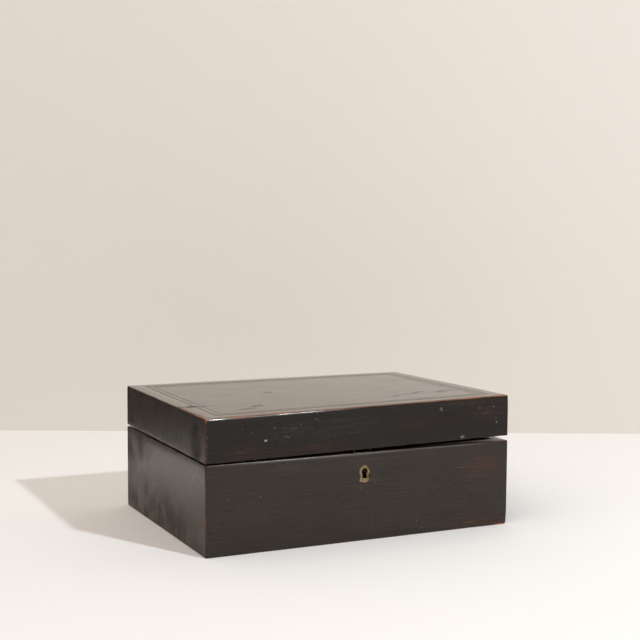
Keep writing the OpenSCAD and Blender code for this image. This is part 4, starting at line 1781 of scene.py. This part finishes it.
@dataclass
class Case(Half):
    """The lower half: four mitred boards, the bottom, the key plate and the lock's mortise."""

    key_plate: KeyPlate
    rim_edge: float = 0.5 * MM
    rim_spread: float = 0.12 * MM
    foot_edge: float = 0.85 * MM
    foot_spread: float = 0.25 * MM
    lock_plate: float = 1.5 * MM
    foot_chips: tuple[Chip, ...] = (
        Chip(Side.FRONT, 100 * MM, 0.7 * MM, 5 * MM),
        Chip(Side.FRONT, 144 * MM, 1.0 * MM, 5 * MM),
        Chip(Side.RIGHT, -104 * MM, 0.9 * MM, 5 * MM),
        Chip(Side.FRONT, 40 * MM, 0.35 * MM, 9 * MM),
    )
    rim_chips: tuple[Chip, ...] = (
        Chip(Side.FRONT, -52 * MM, 0.3 * MM, 3 * MM),
        Chip(Side.FRONT, -88 * MM, 0.25 * MM, 2 * MM),
        Chip(Side.FRONT, 118 * MM, 0.3 * MM, 8 * MM),
        Chip(Side.RIGHT, -60 * MM, 0.25 * MM, 10 * MM),
    )
    corners: ClassVar[tuple[Corner, ...]] = (
        Corner(1.3 * MM, extra_low=0.9 * MM, extra_high=0.2 * MM),
        Corner(1.3 * MM, extra_low=1.6 * MM, extra_high=0.2 * MM),
        Corner(1.3 * MM, extra_low=0.6 * MM),
        Corner(1.2 * MM, extra_low=0.8 * MM),
    )

    def board(self, side: Side) -> Piece:
        """One case board: its section runs from the bottom edge round the rebate to the rim.

        Args:
            side: The side.

        Returns:
            The board.
        """
        sizes, path = self.sizes, self.path
        board, rim = sizes.board, sizes.rim
        ledge = board - sizes.rebate
        foot = path.edge_radius(side, 0.0, self.foot_edge, self.foot_spread, self.foot_chips)
        top = path.edge_radius(side, rim, self.rim_edge, self.rim_spread, self.rim_chips)
        section = joined(
            path.stations,
            arc((foot, foot), foot, 180, 270),
            plain_points((ledge, 0), (ledge, sizes.bottom), (board, sizes.bottom)),
            arc((board - self.inner_edge, rim - self.inner_edge), self.inner_edge, 0, 90, 3),
            arc((top, rim - top), top, 90, 180),
            uneven_face(path, side, foot, rim - top, self.dips),
        )
        piece = swept(f"case_{side.label}", path.carry(side, section, 0.0, rim))
        if side is Side.FRONT:
            cut(piece, [*self.key_plate.cutters(), *self._lock_mortise()])
        else:
            cut(piece, self._back_cutters(side, -1))
        return piece

    def _lock_mortise(self) -> list[Piece]:
        """Room for the lock plate's top edge in the rim, its face, and the lock's case.

        Returns:
            A box for each, open to the inside and the top.
        """
        plate_low, plate_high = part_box("lock_plate")
        case_low, case_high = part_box("lock_case")
        inner = self.sizes.board - self.sizes.depth / 2
        lows = (
            (plate_low.x - FIT, plate_low.y - FIT, self.sizes.rim - self.lock_plate),
            (plate_low.x - FIT, inner - self.lock_plate, plate_low.z - FIT),
            (case_low.x - FIT, case_low.y - FIT, case_low.z - FIT),
        )
        rights = (plate_high.x, plate_high.x, case_high.x)
        return [
            box_cutter(low, (right + FIT, inner + PAST, self.sizes.rim + PAST))
            for low, right in zip(lows, rights)
        ]

    def damage(self) -> dict[str, tuple[Patch | Mark, ...]]:
        """Where the case's edges and faces have worn, and where sheen and highlight are painted, in
        millimetres.

        Returns:
            Patches and marks by field of the finish.
        """
        left, right, front, back = self._outline()
        rim = self.sizes.rim / MM
        return dict(
            worn=patches(
                (left, front, 12, 5, 5, 30, 0.6), (-50, front, 0, 110, 3, 3, 0.4),
                (left, front, 56, 4, 4, 44, 0.35), (right, front, 1, 22, 10, 5, 1.3),
                (right - 45, front, 0, 60, 3, 3, 0.9), (right, front, rim, 34, 4, 3, 0.55),
                (right, front, 34, 4, 4, 56, 0.55), (right - 6, front + 50, rim, 10, 60, 3, 0.35),
                (left, back, 4, 8, 8, 12, 0.8), (right, back, 3, 9, 12, 9, 0.9),
                (-60, back, 0, 60, 3, 3, 0.4), (right, 10, 0, 3, 70, 3, 0.4),
            ),
            thin=patches(
                (right - 26, front, 55, 30, 4, 26, 0.85), (right - 32, front, 8, 48, 4, 10, 0.8),
                (-112, front, 40, 36, 4, 26, 0.3), (40, front, 30, 90, 4, 34, 0.45),
                (right, 20, 40, 4, 60, 30, 0.4), (20, back, 30, 90, 4, 30, 0.4),
            ),
            # Painted sheen on the sides and the front.
            painted_sheen_places=patches(
                (left, -97, 69, 4, 15, 12, 0.6), (left, -78, 70, 4, 34, 12, 0.5),
                (left, -45, 62, 4, 66, 24, 0.34), (left, 30, 62, 4, 60, 16, 0.3),
                (-20, front, 72, 120, 4, 9, 0.12), (right, -20, 50, 4, 70, 20, 0.25),
            ),
            matt=patches(
                (left, 20, -6, 4, 190, 60, 0.95), (left, 125, 84, 4, 130, 60, 1.0),
                (left, -60, 84, 4, 90, 10, 0.4),
            ),
            # Burnished gloss and a painted highlight along the rim.
            burnish_and_highlight=patches(
                (-40, front, rim, 130, 5, 5, 0.22), (90, front, rim, 50, 5, 5, 0.15),
            ),
            marks=(
                *self._front_marks(
                    Damage.ORANGE,
                    (-4.2, 49.4, -3.4, 45.8, 0.55, 0.7), (-12.4, 49.6, -10.6, 49.0, 0.45, 0.4),
                    (90, 57.4, 107, 58.0, 0.7, 0.45), (66, 56.2, 78, 56.6, 0.4, 0.35),
                    (96, 26.3, 107, 25.9, 0.6, 0.4), (102, 5.6, 118, 5.2, 0.8, 0.4),
                    (62, 7.0, 86, 6.5, 0.5, 0.3), (52, 32.4, 61, 32.0, 0.45, 0.3),
                ),
                *self._front_marks(
                    Damage.PALE,
                    (2, 54.8, 16, 53.0, 1.6, 0.07), (7.9, 32, 8.2, 5, 0.4, 0.12),
                ),
                Mark((left, -69, 23.5), (left, -70, 19.5), 0.5, Damage.DARK, 0.9),
                Mark((left, 20, 30), (left, 24, 27), 0.35, Damage.DARK, 0.5),
                Mark((right, -40, 52), (right, -22, 54), 0.3, Damage.ORANGE, 0.5),
                Mark((-70, back, 44), (-52, back, 40), 0.3, Damage.ORANGE, 0.5),
            ),
        )

    def make(self) -> None:
        """Builds the case's wood and dresses it."""
        lengthwise = self.finish(Face.CASE_LONG, Grain.LENGTHWISE)
        upright = self.finish(Face.CASE_SHORT, Grain.UPRIGHT)
        for side in Side:
            material = lengthwise if side.is_long else upright
            hand_in(self.board(side), "case", material, f"{side.label}_board")
        dress_node("bottom_board", BareWood("bottom_wood", Grain.LENGTHWISE).material())


@dataclass
class Lid(Half):
    """The upper half: four rails and a top board, veneered with bands, stringing and a field."""

    top_edge: float = 1.5 * MM
    top_spread: float = 0.25 * MM
    foot_edge: float = 0.5 * MM
    foot_spread: float = 0.12 * MM
    string_sunk: float = 0.12 * MM
    crown_place: float = 9 * MM
    crown_dip: float = 0.05 * MM
    crown_spread: float = 0.03 * MM
    rubbed: float = 0.06 * MM
    rubbed_width: float = 0.15 * MM
    rubbed_dip: float = 0.01 * MM
    link_plate: float = 1.5 * MM
    link_plate_width: float = 9 * MM
    dip_length: float = 95 * MM
    panel_grid: tuple[int, int] = (131, 91)
    chips: tuple[Chip, ...] = (
        Chip(Side.FRONT, 100.4 * MM, 1.2 * MM, 1.6 * MM),
        Chip(Side.FRONT, -20 * MM, 0.3 * MM, 4 * MM),
        Chip(Side.LEFT, 30 * MM, 0.3 * MM, 6 * MM),
    )
    corners: ClassVar[tuple[Corner, ...]] = (
        Corner(1.35 * MM, extra_high=0.7 * MM),
        Corner(1.3 * MM, extra_high=0.9 * MM),
        Corner(1.3 * MM, extra_high=0.5 * MM),
        Corner(1.3 * MM, extra_high=0.5 * MM),
    )

    def _twisted(self, points: Array) -> Array:
        """Lifts points to where the twisted lid lies.

        Args:
            points: Points whose heights are above the lid's lower edge.

        Returns:
            The lifted points.
        """
        lifted = points.copy()
        lifted[..., 2] += self.sizes.rim + self.sizes.rise(points[..., 0], points[..., 1])
        return lifted

    def _strip(self, side: Side, section: Array) -> Array:
        """Points of a mitred strip of one section along a side of the lid."""
        return self._twisted(self.path.carry(side, section, 0.0, self.sizes.lid_height))

    def _top_radius(self, side: Side) -> Array:
        """Radius of the worn upper edge, shared by rail and band, at each station."""
        height = self.sizes.lid_height
        return self.path.edge_radius(side, height, self.top_edge, self.top_spread)

    def _top_arc(self, side: Side, low: float | None, high: float | None) -> Array:
        """The part of the upper edge's arc between two heights, from high to low.

        The arc's centre lies a radius inward and a radius down. A height on it has the angle
        whose sine is its height above the centre over the radius.

        Args:
            side: The side.
            low: Lower height, or None for the arc's own lower end.
            high: Upper height, or None for its upper end.

        Returns:
            Section points.
        """
        radius = self._top_radius(side)
        centre = self.sizes.lid_height - radius

        def angle(height: float) -> Array:
            """The angle of a height on the arc, from 180 degrees at its lower end to 90."""
            return 180 - np.degrees(np.arcsin(np.clip((height - centre) / radius, 0, 1)))

        begin = 90.0 if high is None else angle(high)
        end = 180.0 if low is None else angle(low)
        return arc((radius, centre), radius, begin, end)

    def rail(self, side: Side) -> Piece:
        """One rail: its section runs from the lower edge round the rebate to the band's bed.

        Args:
            side: The side.

        Returns:
            The rail.
        """
        sizes, path = self.sizes, self.path
        board, top = sizes.board, sizes.rail_top
        ledge, shoulder = board - sizes.rebate, top - sizes.top_board
        foot = path.edge_radius(side, sizes.rim, self.foot_edge, self.foot_spread, self.chips)
        face_top = sizes.lid_height - self._top_radius(side)
        section = joined(
            path.stations,
            arc((foot, foot), foot, 180, 270),
            arc((board - self.inner_edge, self.inner_edge), self.inner_edge, 270, 360, 3),
            plain_points((board, shoulder), (ledge, shoulder), (ledge, top)),
            self._top_arc(side, None, top),
            uneven_face(path, side, foot, face_top, self.dips),
        )
        piece = swept(f"lid_{side.label}", self._strip(side, section))
        if side is Side.FRONT:
            cut(piece, [self._link_mortise()])
        else:
            cut(piece, self._back_cutters(side, 1))
        return piece

    def _link_mortise(self) -> Piece:
        """Room for the link plate in the lower edge of the front rail.

        Returns:
            A box.
        """
        low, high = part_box("link_plate")
        return box_cutter(
            (low.x - FIT, high.y - self.link_plate_width - FIT, high.z - 3 * self.link_plate),
            (high.x + FIT, high.y + self.link_plate, high.z),
        )

    def outer_band(self, side: Side) -> Piece:
        """One outer band, its outer edge rounded together with the rail under it.

        Args:
            side: The side.

        Returns:
            The band.
        """
        sizes = self.sizes
        top, bed = sizes.lid_height, sizes.bed
        dip = self.path.edge_radius(side, top, self.crown_dip, self.crown_spread)
        section = joined(
            self.path.stations,
            plain_points(
                (sizes.outer_band, bed),
                (sizes.outer_band, top - self.rubbed),
                (sizes.outer_band - self.rubbed_width, top - self.rubbed_dip),
            ),
            np.stack([np.full_like(dip, self.crown_place), top - dip], -1)[:, None],
            self._top_arc(side, bed, None),
        )
        return swept(f"outer_band_{side.label}", self._strip(side, section))

    def inner_band(self, side: Side) -> Piece:
        """One inner band, between the two strings.

        Args:
            side: The side.

        Returns:
            The band.
        """
        start = self.sizes.outer_band + self.sizes.string + 2 * self.sizes.glue_line
        section = self._veneer(start, start + self.sizes.inner_band, self.sizes.lid_height)
        return swept(f"inner_band_{side.label}", self._strip(side, section))

    def _veneer(self, start: float, end: float, top: float) -> Array:
        """Section of a veneer strip, whose upper edges are rubbed off by a sloping face.

        Args:
            start: Distance of its outer edge from the lid's side.
            end: Distance of its inner edge.
            top: Height of its face above the lid's lower edge.

        Returns:
            Section points.
        """
        bed, rub = self.sizes.bed, self.rubbed
        upper = plain_points(
            (end, top - rub),
            (end - 2 * rub, top - 0.2 * rub),
            (start + 2 * rub, top - 0.2 * rub),
            (start, top - rub),
        )
        return joined(self.path.stations, plain_points((start, bed), (end, bed)), upper)

    def stringing(self, name: str, start: float) -> Piece:
        """One string all round, sunk a little below the bands, as one mesh of four strips.

        Args:
            name: The piece's name.
            start: Distance of its outer edge from the lid's sides.

        Returns:
            The string.
        """
        top = self.sizes.lid_height - self.string_sunk
        section = self._veneer(start, start + self.sizes.string, top)
        return swept(name, *(self._strip(side, section) for side in Side))

    def panel(self, name: str, inset: float, bottom: float, top: float, dips: float) -> Piece:
        """A panel of the lid: a grid of points on the twisted plane, with shallow dips on top.

        Args:
            name: The piece's name.
            inset: Distance from the lid's sides.
            bottom: Height of its underside above the lid's lower edge.
            top: Height of its upper face.
            dips: The deepest dip.

        Returns:
            The panel.
        """
        half_x, half_y = self.sizes.width / 2 - inset, self.sizes.depth / 2 - inset
        columns, rows = self.panel_grid
        x, y = np.meshgrid(
            np.linspace(-half_x, half_x, columns), np.linspace(-half_y, half_y, rows)
        )
        fade = (1 - (x / half_x) ** 8) * (1 - (y / half_y) ** 8)
        wave = 0.5 + 0.5 * slow_wave(x, 1.8 * y, 0 * x, self.dip_length)
        upper = np.stack([x, y, top - dips * fade * wave], -1)
        lower = np.stack([x, y, np.full_like(x, bottom)], -1)
        return slab(name, self._twisted(upper), self._twisted(lower))

    def damage(self) -> dict[str, tuple[Patch | Mark, ...]]:
        """Where the lid's edges and faces have worn, and where sheen and highlight are painted, in
        millimetres.

        Returns:
            Patches and marks by field of the finish.
        """
        left, right, front, back = self._outline()
        top = (self.sizes.rim + self.sizes.lid_height) / MM + 2
        return dict(
            worn=patches(
                (left, front, top - 18, 8, 8, 40, 0.85), (left, front, top, 8, 8, 6, 1.3),
                (-95, front, top, 110, 7, 5, 1.0), (30, front, top, 110, 7, 5, 0.6),
                (60, front, top + 1, 30, 7, 6, 0.25), (112, front, top + 1, 50, 9, 6, 1.1),
                (right, front, top + 2, 14, 12, 6, 0.9), (left, -84, top, 7, 78, 5, 0.9),
                (left, 50, top, 4, 80, 4, 0.1), (right, front, top - 16, 5, 5, 24, 0.4),
                (right, -40, top + 1, 4, 80, 4, 0.6), (100.4, front, 85, 3.4, 2, 2.0, 0.9),
                (right, back, top - 12, 6, 6, 18, 0.7), (left, back, top - 14, 5, 5, 18, 0.5),
                (-40, back, top, 90, 4, 4, 0.6),
            ),
            thin=patches(
                (-118, front, 89, 22, 4, 8, 0.7), (-60, front, 86, 60, 4, 9, 0.45),
                (122, front, 106, 28, 4, 9, 0.85), (60, front, 100, 60, 4, 12, 0.45),
                (-80, front + 4, top, 110, 9, 6, 0.5), (90, front + 4, top + 1, 80, 12, 6, 0.6),
                (right, 0, 100, 4, 80, 16, 0.4), (0, back, 100, 100, 4, 16, 0.4),
            ),
            # Painted sheen on the sides, the front and the top.
            painted_sheen_places=patches(
                (left, -108, 96, 4, 2.6, 26, 0.5), (20, 62, top, 150, 50, 8, 0.3),
                (left, -62, 92, 4, 12, 16, 0.15), (-40, front, 103, 70, 4, 12, 0.12),
                (right, 30, 100, 4, 60, 16, 0.25),
            ),
            matt=patches(
                (left, -60, 108, 4, 60, 16, 0.4), (left, -86, 96, 4, 20, 26, 1.1),
                (80, front, 96, 90, 4, 16, 0.5),
            ),
            # Burnished gloss and a painted highlight along the top edges.
            burnish_and_highlight=patches(
                (-92, front, top, 100, 7, 7, 0.24), (0, back, top, 120, 6, 6, 0.5),
            ),
            marks=self._marks(),
        )

    def _marks(self) -> tuple[Mark, ...]:
        """The scratches, dents and the shrinkage crack of the lid, in millimetres.

        Returns:
            The marks.
        """
        left = self._outline()[0]

        def on_top(x: float, y: float) -> Place:
            """A place on the twisted top."""
            lift = self.sizes.rise(x * MM, y * MM) / MM
            return (x, y, (self.sizes.rim + self.sizes.lid_height) / MM + lift)

        def scratch(
            start: tuple[float, float], end: tuple[float, float], width: float, strength: float
        ) -> Mark:
            """A dark scratch on the top."""
            return Mark(on_top(*start), on_top(*end), width, Damage.DARK, strength)

        return (
            *self._front_marks(
                Damage.PALE,
                (-95.6, 96.6, 2.6, 0.7), (-94.4, 96.8, 2.0, 0.5), (-86.8, 107.2, 2.2, 0.16),
                (-107.6, 104.5, 2.0, 0.12), (77.2, 113.4, 3.6, 0.16), (78.4, 112.0, 3.0, 0.13),
                (137.2, 97.3, 2.0, 0.5), (133.7, 111.9, 1.8, 0.35), (136.5, 101.2, 1.8, 0.2),
                (-62.8, 110.2, -61.4, 106.2, 1.6, 0.12), (-79.2, 100.5, -71.7, 96.9, 1.8, 0.11),
                (-50.9, 113.3, -44.2, 111.1, 2.4, 0.07), (97.8, 85.7, 103.2, 86.0, 2.4, 0.5),
            ),
            *self._front_marks(
                Damage.ORANGE,
                (-116.5, 108.3, 2.0, 0.25), (118.6, 111.3, 2.0, 0.35),
                (140.8, 104.1, 143.8, 107.4, 1.0, 0.25), (120, 105.6, 131, 107.4, 0.9, 0.35),
                (-122, 88.2, -114, 88.8, 1.0, 0.3),
            ),
            scratch((left - 8, -40.5), (-112, -44.0), 4.0, 1.0),
            scratch((-144, -40.0), (-131, -42.4), 11.0, 1.0),
            scratch((-92, -62.5), (-75, -60.8), 7.5, 1.0),
            scratch((-110, -77), (-85, -70.0), 5.4, 0.9),
            scratch((-48, 11.2), (-34, 12.6), 8.0, 0.5),
            scratch((48, -66), (66, -57.5), 6.0, 0.5),
            scratch((62, -54), (84, -60.5), 7.0, 0.5),
            scratch((76, -52), (96, -48.5), 6.0, 0.6),
            scratch((100, -62), (116, -52), 8.0, 0.55),
            scratch((110, -47), (128, -58), 6.0, 0.55),
            scratch((98, -93), (112, -89), 5.0, 0.5),
            Mark((left, -23, 90), (left, -24, 85), 1.2, Damage.DARK, 0.6),
            Mark((left, -31, 91), (left, -31.5, 86), 1.0, Damage.DARK, 0.5),
        )

    def make(self) -> None:
        """Builds the lid's wood and dresses it."""
        sizes = self.sizes
        long_rail = self.finish(Face.LID_LONG, Grain.LENGTHWISE)
        short_rail = self.finish(Face.LID_SHORT, Grain.UPRIGHT)
        long_top = self.finish(Face.LID_TOP, Grain.LENGTHWISE)
        short_top = self.finish(Face.LID_TOP, Grain.DEPTHWISE)
        line = StringLine().material()
        for side in Side:
            rail, band = (long_rail, long_top) if side.is_long else (short_rail, short_top)
            hand_in(self.rail(side), "lid", rail, f"lid_{side.label}_rail")
            hand_in(self.outer_band(side), "lid", band, f"outer_band_{side.label}")
            hand_in(self.inner_band(side), "lid", band, f"inner_band_{side.label}")
        first = sizes.outer_band + sizes.glue_line
        second = first + sizes.string + 2 * sizes.glue_line + sizes.inner_band
        field_inset = second + sizes.string + sizes.glue_line
        hand_in(self.stringing("outer_string", first), "lid", line, "outer_stringing")
        hand_in(self.stringing("inner_string", second), "lid", line, "inner_stringing")
        veneer = self.panel("field", field_inset, sizes.bed, sizes.lid_height, self.dips)
        hand_in(veneer, "lid", long_top, "field_veneer")
        inset = sizes.board - sizes.rebate + sizes.glue_line
        shoulder = sizes.rail_top - sizes.top_board + sizes.glue_line
        core = self.panel("lid_core", inset, shoulder, sizes.rail_top, 0.0)
        core_wood = BareWood("core_wood", Grain.LENGTHWISE).material()
        hand_in(core, "lid", core_wood, "lid_top_board")


def hand_in(piece: Piece, body: str, material: Material, node: str) -> None:
    """Gives a piece its material and its body, and hides the CAD node that it stands for.

    Args:
        piece: The piece.
        body: The body that it rides on.
        material: Its finish.
        node: The CAD node that it replaces.
    """
    piece.data.materials.clear()
    piece.data.materials.append(material)
    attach(piece, body)
    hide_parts(node)
    LOG.info("%s rides on %s for %s, %d faces", piece.name, body, node, len(piece.data.polygons))


def dress_node(node: str, material: Material, edge: float = 0.0) -> None:
    """Gives a CAD node its material, and rounds its edges with modifiers where asked.

    Args:
        node: The node's name.
        material: Its finish.
        edge: Width of the bevel on its sharp edges, or nought for none.
    """
    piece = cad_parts[node]
    for material_slot in piece.material_slots:
        material_slot.material = material
    if not piece.material_slots:
        piece.data.materials.append(material)
    if edge > 0:
        weld = piece.modifiers.new("merge", "WELD")
        weld.merge_threshold = MERGE_DISTANCE
        bevel = piece.modifiers.new("soften", "BEVEL")
        bevel.width = edge
        bevel.segments = 2
        bevel.limit_method = "ANGLE"
        bevel.angle_limit = math.radians(METAL_DEGREES)
        bevel.harden_normals = False
    LOG.info("%s keeps its shape, finished as %s", node, material.name)


@dataclass
class Fittings:
    """The metal: key plate, lock, hinges, brads and screws."""

    key_plate: KeyPlate
    lock_edge: float = 0.12 * MM
    leaf_edge: float = 0.1 * MM
    brass: OldMetal = OldMetal(
        "aged_brass", (0.31, 0.225, 0.125), (0.14, 0.10, 0.056), (0.035, 0.025, 0.016), 0.36, 0.58
    )
    # Link plate brass near black: painted shade of the narrow gap under the lid, where it is seen.
    shaded_link_brass: OldMetal = OldMetal(
        "shaded_link_brass",
        (0.045, 0.032, 0.02), (0.03, 0.021, 0.014), (0.02, 0.014, 0.01), 0.45, 0.65, 0.7,
    )
    inner_brass: OldMetal = OldMetal(
        "lock_brass", (0.56, 0.42, 0.20), (0.33, 0.23, 0.10), (0.07, 0.05, 0.03), 0.26, 0.45, 0.5
    )
    iron: OldMetal = OldMetal(
        "iron", (0.17, 0.16, 0.155), (0.08, 0.066, 0.058), (0.05, 0.024, 0.014), 0.42, 0.66, 0.8
    )
    rusted_iron: OldMetal = OldMetal(
        "rusted_iron",
        (0.035, 0.022, 0.016), (0.022, 0.011, 0.007), (0.03, 0.011, 0.006), 0.6, 0.8, 0.8,
    )

    def make(self) -> None:
        """Builds the key plate and dresses the metal CAD nodes."""
        hand_in(self.key_plate.plate(), "case", self.brass.material(), "escutcheon")
        inner = self.inner_brass.material()
        iron = self.iron.material()
        dress_node("lock_plate", inner, self.lock_edge)
        dress_node("link_plate", self.shaded_link_brass.material(), self.lock_edge)
        for side in ("left", "right"):
            dress_node(f"hinge_case_leaf_{side}", inner, self.leaf_edge)
            dress_node(f"hinge_lid_leaf_{side}", inner, self.leaf_edge)
            dress_node(f"hinge_pin_{side}", iron)
        for node in ("lock_screws", "hinge_case_screws", "hinge_lid_screws", "link_screws"):
            dress_node(node, inner)
        for node in ("lock_case", "lock_bolt", "bolt_stumps", "bolt_spring", "bottom_brads"):
            dress_node(node, iron)
        dress_node("drill_pin", self.rusted_iron.material())


# ---- stage ----


@dataclass(frozen=True)
class Softbox:
    """A square light that faces the middle of the box; lengths in metres, power in watts."""

    name: str
    towards: Place
    distance: float
    size: float
    power: float
    colour: Colour
    aim: Place = (0.0, 0.0, 0.06)

    def make(self) -> None:
        """Places the light."""
        data = bpy.data.lights.new(self.name, "AREA")
        data.shape = "SQUARE"
        data.size = self.size
        data.energy = self.power
        data.color = self.colour
        light = bpy.data.objects.new(self.name, data)
        place = Vector(self.towards).normalized() * self.distance
        light.location = place
        light.rotation_euler = (Vector(self.aim) - place).to_track_quat("-Z", "Y").to_euler()
        bpy.context.scene.collection.objects.link(light)


@dataclass(frozen=True)
class Stage:
    """The pale table, the wall behind it, the lights and the camera."""

    eye: Place = (-533.16, -1135.21, 300.60)
    right: Place = (0.90306389, -0.42947044, 0.00554511)
    up: Place = (0.03354954, 0.08340514, 0.99595081)
    focal_pixels: float = 1324.1
    sensor_width: float = 36.0
    view_end: float = 50.0
    table_back: tuple[float, float] = (202.0, 406.0)
    table_reach: float = 4000.0
    wall_height: float = 3000.0
    table_end: float = 455.0
    table_paint: StageFinish = StageFinish("table_paint", (0.86, 0.85, 0.84), (0.84, 0.83, 0.82))
    wall_paint: StageFinish = StageFinish("wall_paint", (0.70, 0.655, 0.60), (0.685, 0.64, 0.585))
    key: Softbox = Softbox("key", (0.313, -0.734, 0.603), 3.1, 0.12, 56.0, (0.90, 0.98, 1.04))
    overhead: Softbox = Softbox(
        "overhead", (-0.62, -0.26, 0.74), 5.0, 6.0, 176.0, (1.0, 0.905, 0.83)
    )
    backdrop: Colour = (0.76, 0.70, 0.62)
    soft_light: Colour = (0.215, 0.192, 0.174)
    dark_studio: Colour = (0.10, 0.09, 0.085)

    def make(self) -> None:
        """Sets up the camera, the table, the wall and the lights."""
        self._camera()
        self._surfaces()
        self._lights()

    def _camera(self) -> None:
        """The camera: its columns are right, up and backwards, and its lens the focal length."""
        right, up = Vector(self.right), Vector(self.up)
        backwards = right.cross(up)
        data = bpy.data.cameras.new("camera")
        data.sensor_width = self.sensor_width
        data.lens = self.focal_pixels * data.sensor_width / PHOTO_PIXELS
        data.clip_end = self.view_end
        camera = bpy.data.objects.new("camera", data)
        turn = Matrix((right, up, backwards)).transposed().to_4x4()
        camera.matrix_world = Matrix.Translation(Vector(self.eye) * MM) @ turn
        bpy.context.scene.collection.objects.link(camera)
        bpy.context.scene.camera = camera

    def _surfaces(self) -> None:
        """The table, which ends along a line square to the view, and the wall on that line.

        Both go on to the left of the table's real end for the eye alone, so that the left side
        of the box reflects the dark room beyond.
        """
        across = Vector((self.right[0], self.right[1], 0)).normalized()
        forward = Vector((-across.y, across.x, 0))
        edge = Vector((*self.table_back, 0)) * MM
        reach = self.table_reach * MM
        rise = Vector((0, 0, self.wall_height * MM))
        table, wall = self.table_paint.material(), self.wall_paint.material()
        end = -self.table_end * MM
        spans = (("", end, reach, True), ("_beyond", -reach, end, False))
        for suffix, start, stop, reflected in spans:
            back = [edge + across * start, edge + across * stop]
            near = [corner - forward * reach for corner in back]
            high = [corner + rise for corner in back]
            self._sheet(f"table{suffix}", [*near, *reversed(back)], table, reflected)
            self._sheet(f"wall{suffix}", [*back, *reversed(high)], wall, reflected)

    def _sheet(self, name: str, corners: list[Vector], material: Material, reflected: bool) -> None:
        """One flat four-sided surface of the stage.

        Args:
            name: Its name.
            corners: Its corners in order.
            material: Its finish.
            reflected: Whether glossy surfaces reflect it.
        """
        mesh = bpy.data.meshes.new(name)
        mesh.from_pydata([tuple(corner) for corner in corners], [], [(0, 1, 2, 3)])
        mesh.materials.append(material)
        sheet = bpy.data.objects.new(name, mesh)
        sheet.visible_glossy = reflected
        bpy.context.scene.collection.objects.link(sheet)

    def _lights(self) -> None:
        """A key softbox from the front right, a wide one overhead, and light from all round.

        What lies beyond table and wall is the backdrop's colour to the eye, soft light to matt
        surfaces and a dark studio in reflections.
        """
        self.key.make()
        self.overhead.make()
        world = bpy.data.worlds.new("studio")
        world.use_nodes = True
        tree = Tree(world.node_tree)
        ray = tree.add("ShaderNodeLightPath").outputs
        light = tree.mix(ray["Is Glossy Ray"], self.soft_light, self.dark_studio)
        light = tree.mix(ray["Is Camera Ray"], light, self.backdrop)
        background = world.node_tree.nodes["Background"]
        world.node_tree.links.new(light, background.inputs["Color"])
        bpy.context.scene.world = world
        bpy.context.scene.view_settings.view_transform = "Standard"


def main() -> None:
    """Builds the stage and the box, sub-assembly by sub-assembly."""
    logging.basicConfig(level=logging.INFO, format="%(name)s: %(message)s")
    Stage().make()
    sizes = BoxSizes.from_frame()
    hinges = (Hinge.from_frame("left"), Hinge.from_frame("right"))
    pin_low, pin_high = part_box("drill_pin")
    key_plate = KeyPlate(centre_z=(pin_low.z + pin_high.z) / 2, front=-sizes.depth / 2)
    Case(sizes, hinges, key_plate).make()
    Lid(sizes, hinges).make()
    Fittings(key_plate).make()


if __name__ == "__main__":
    main()
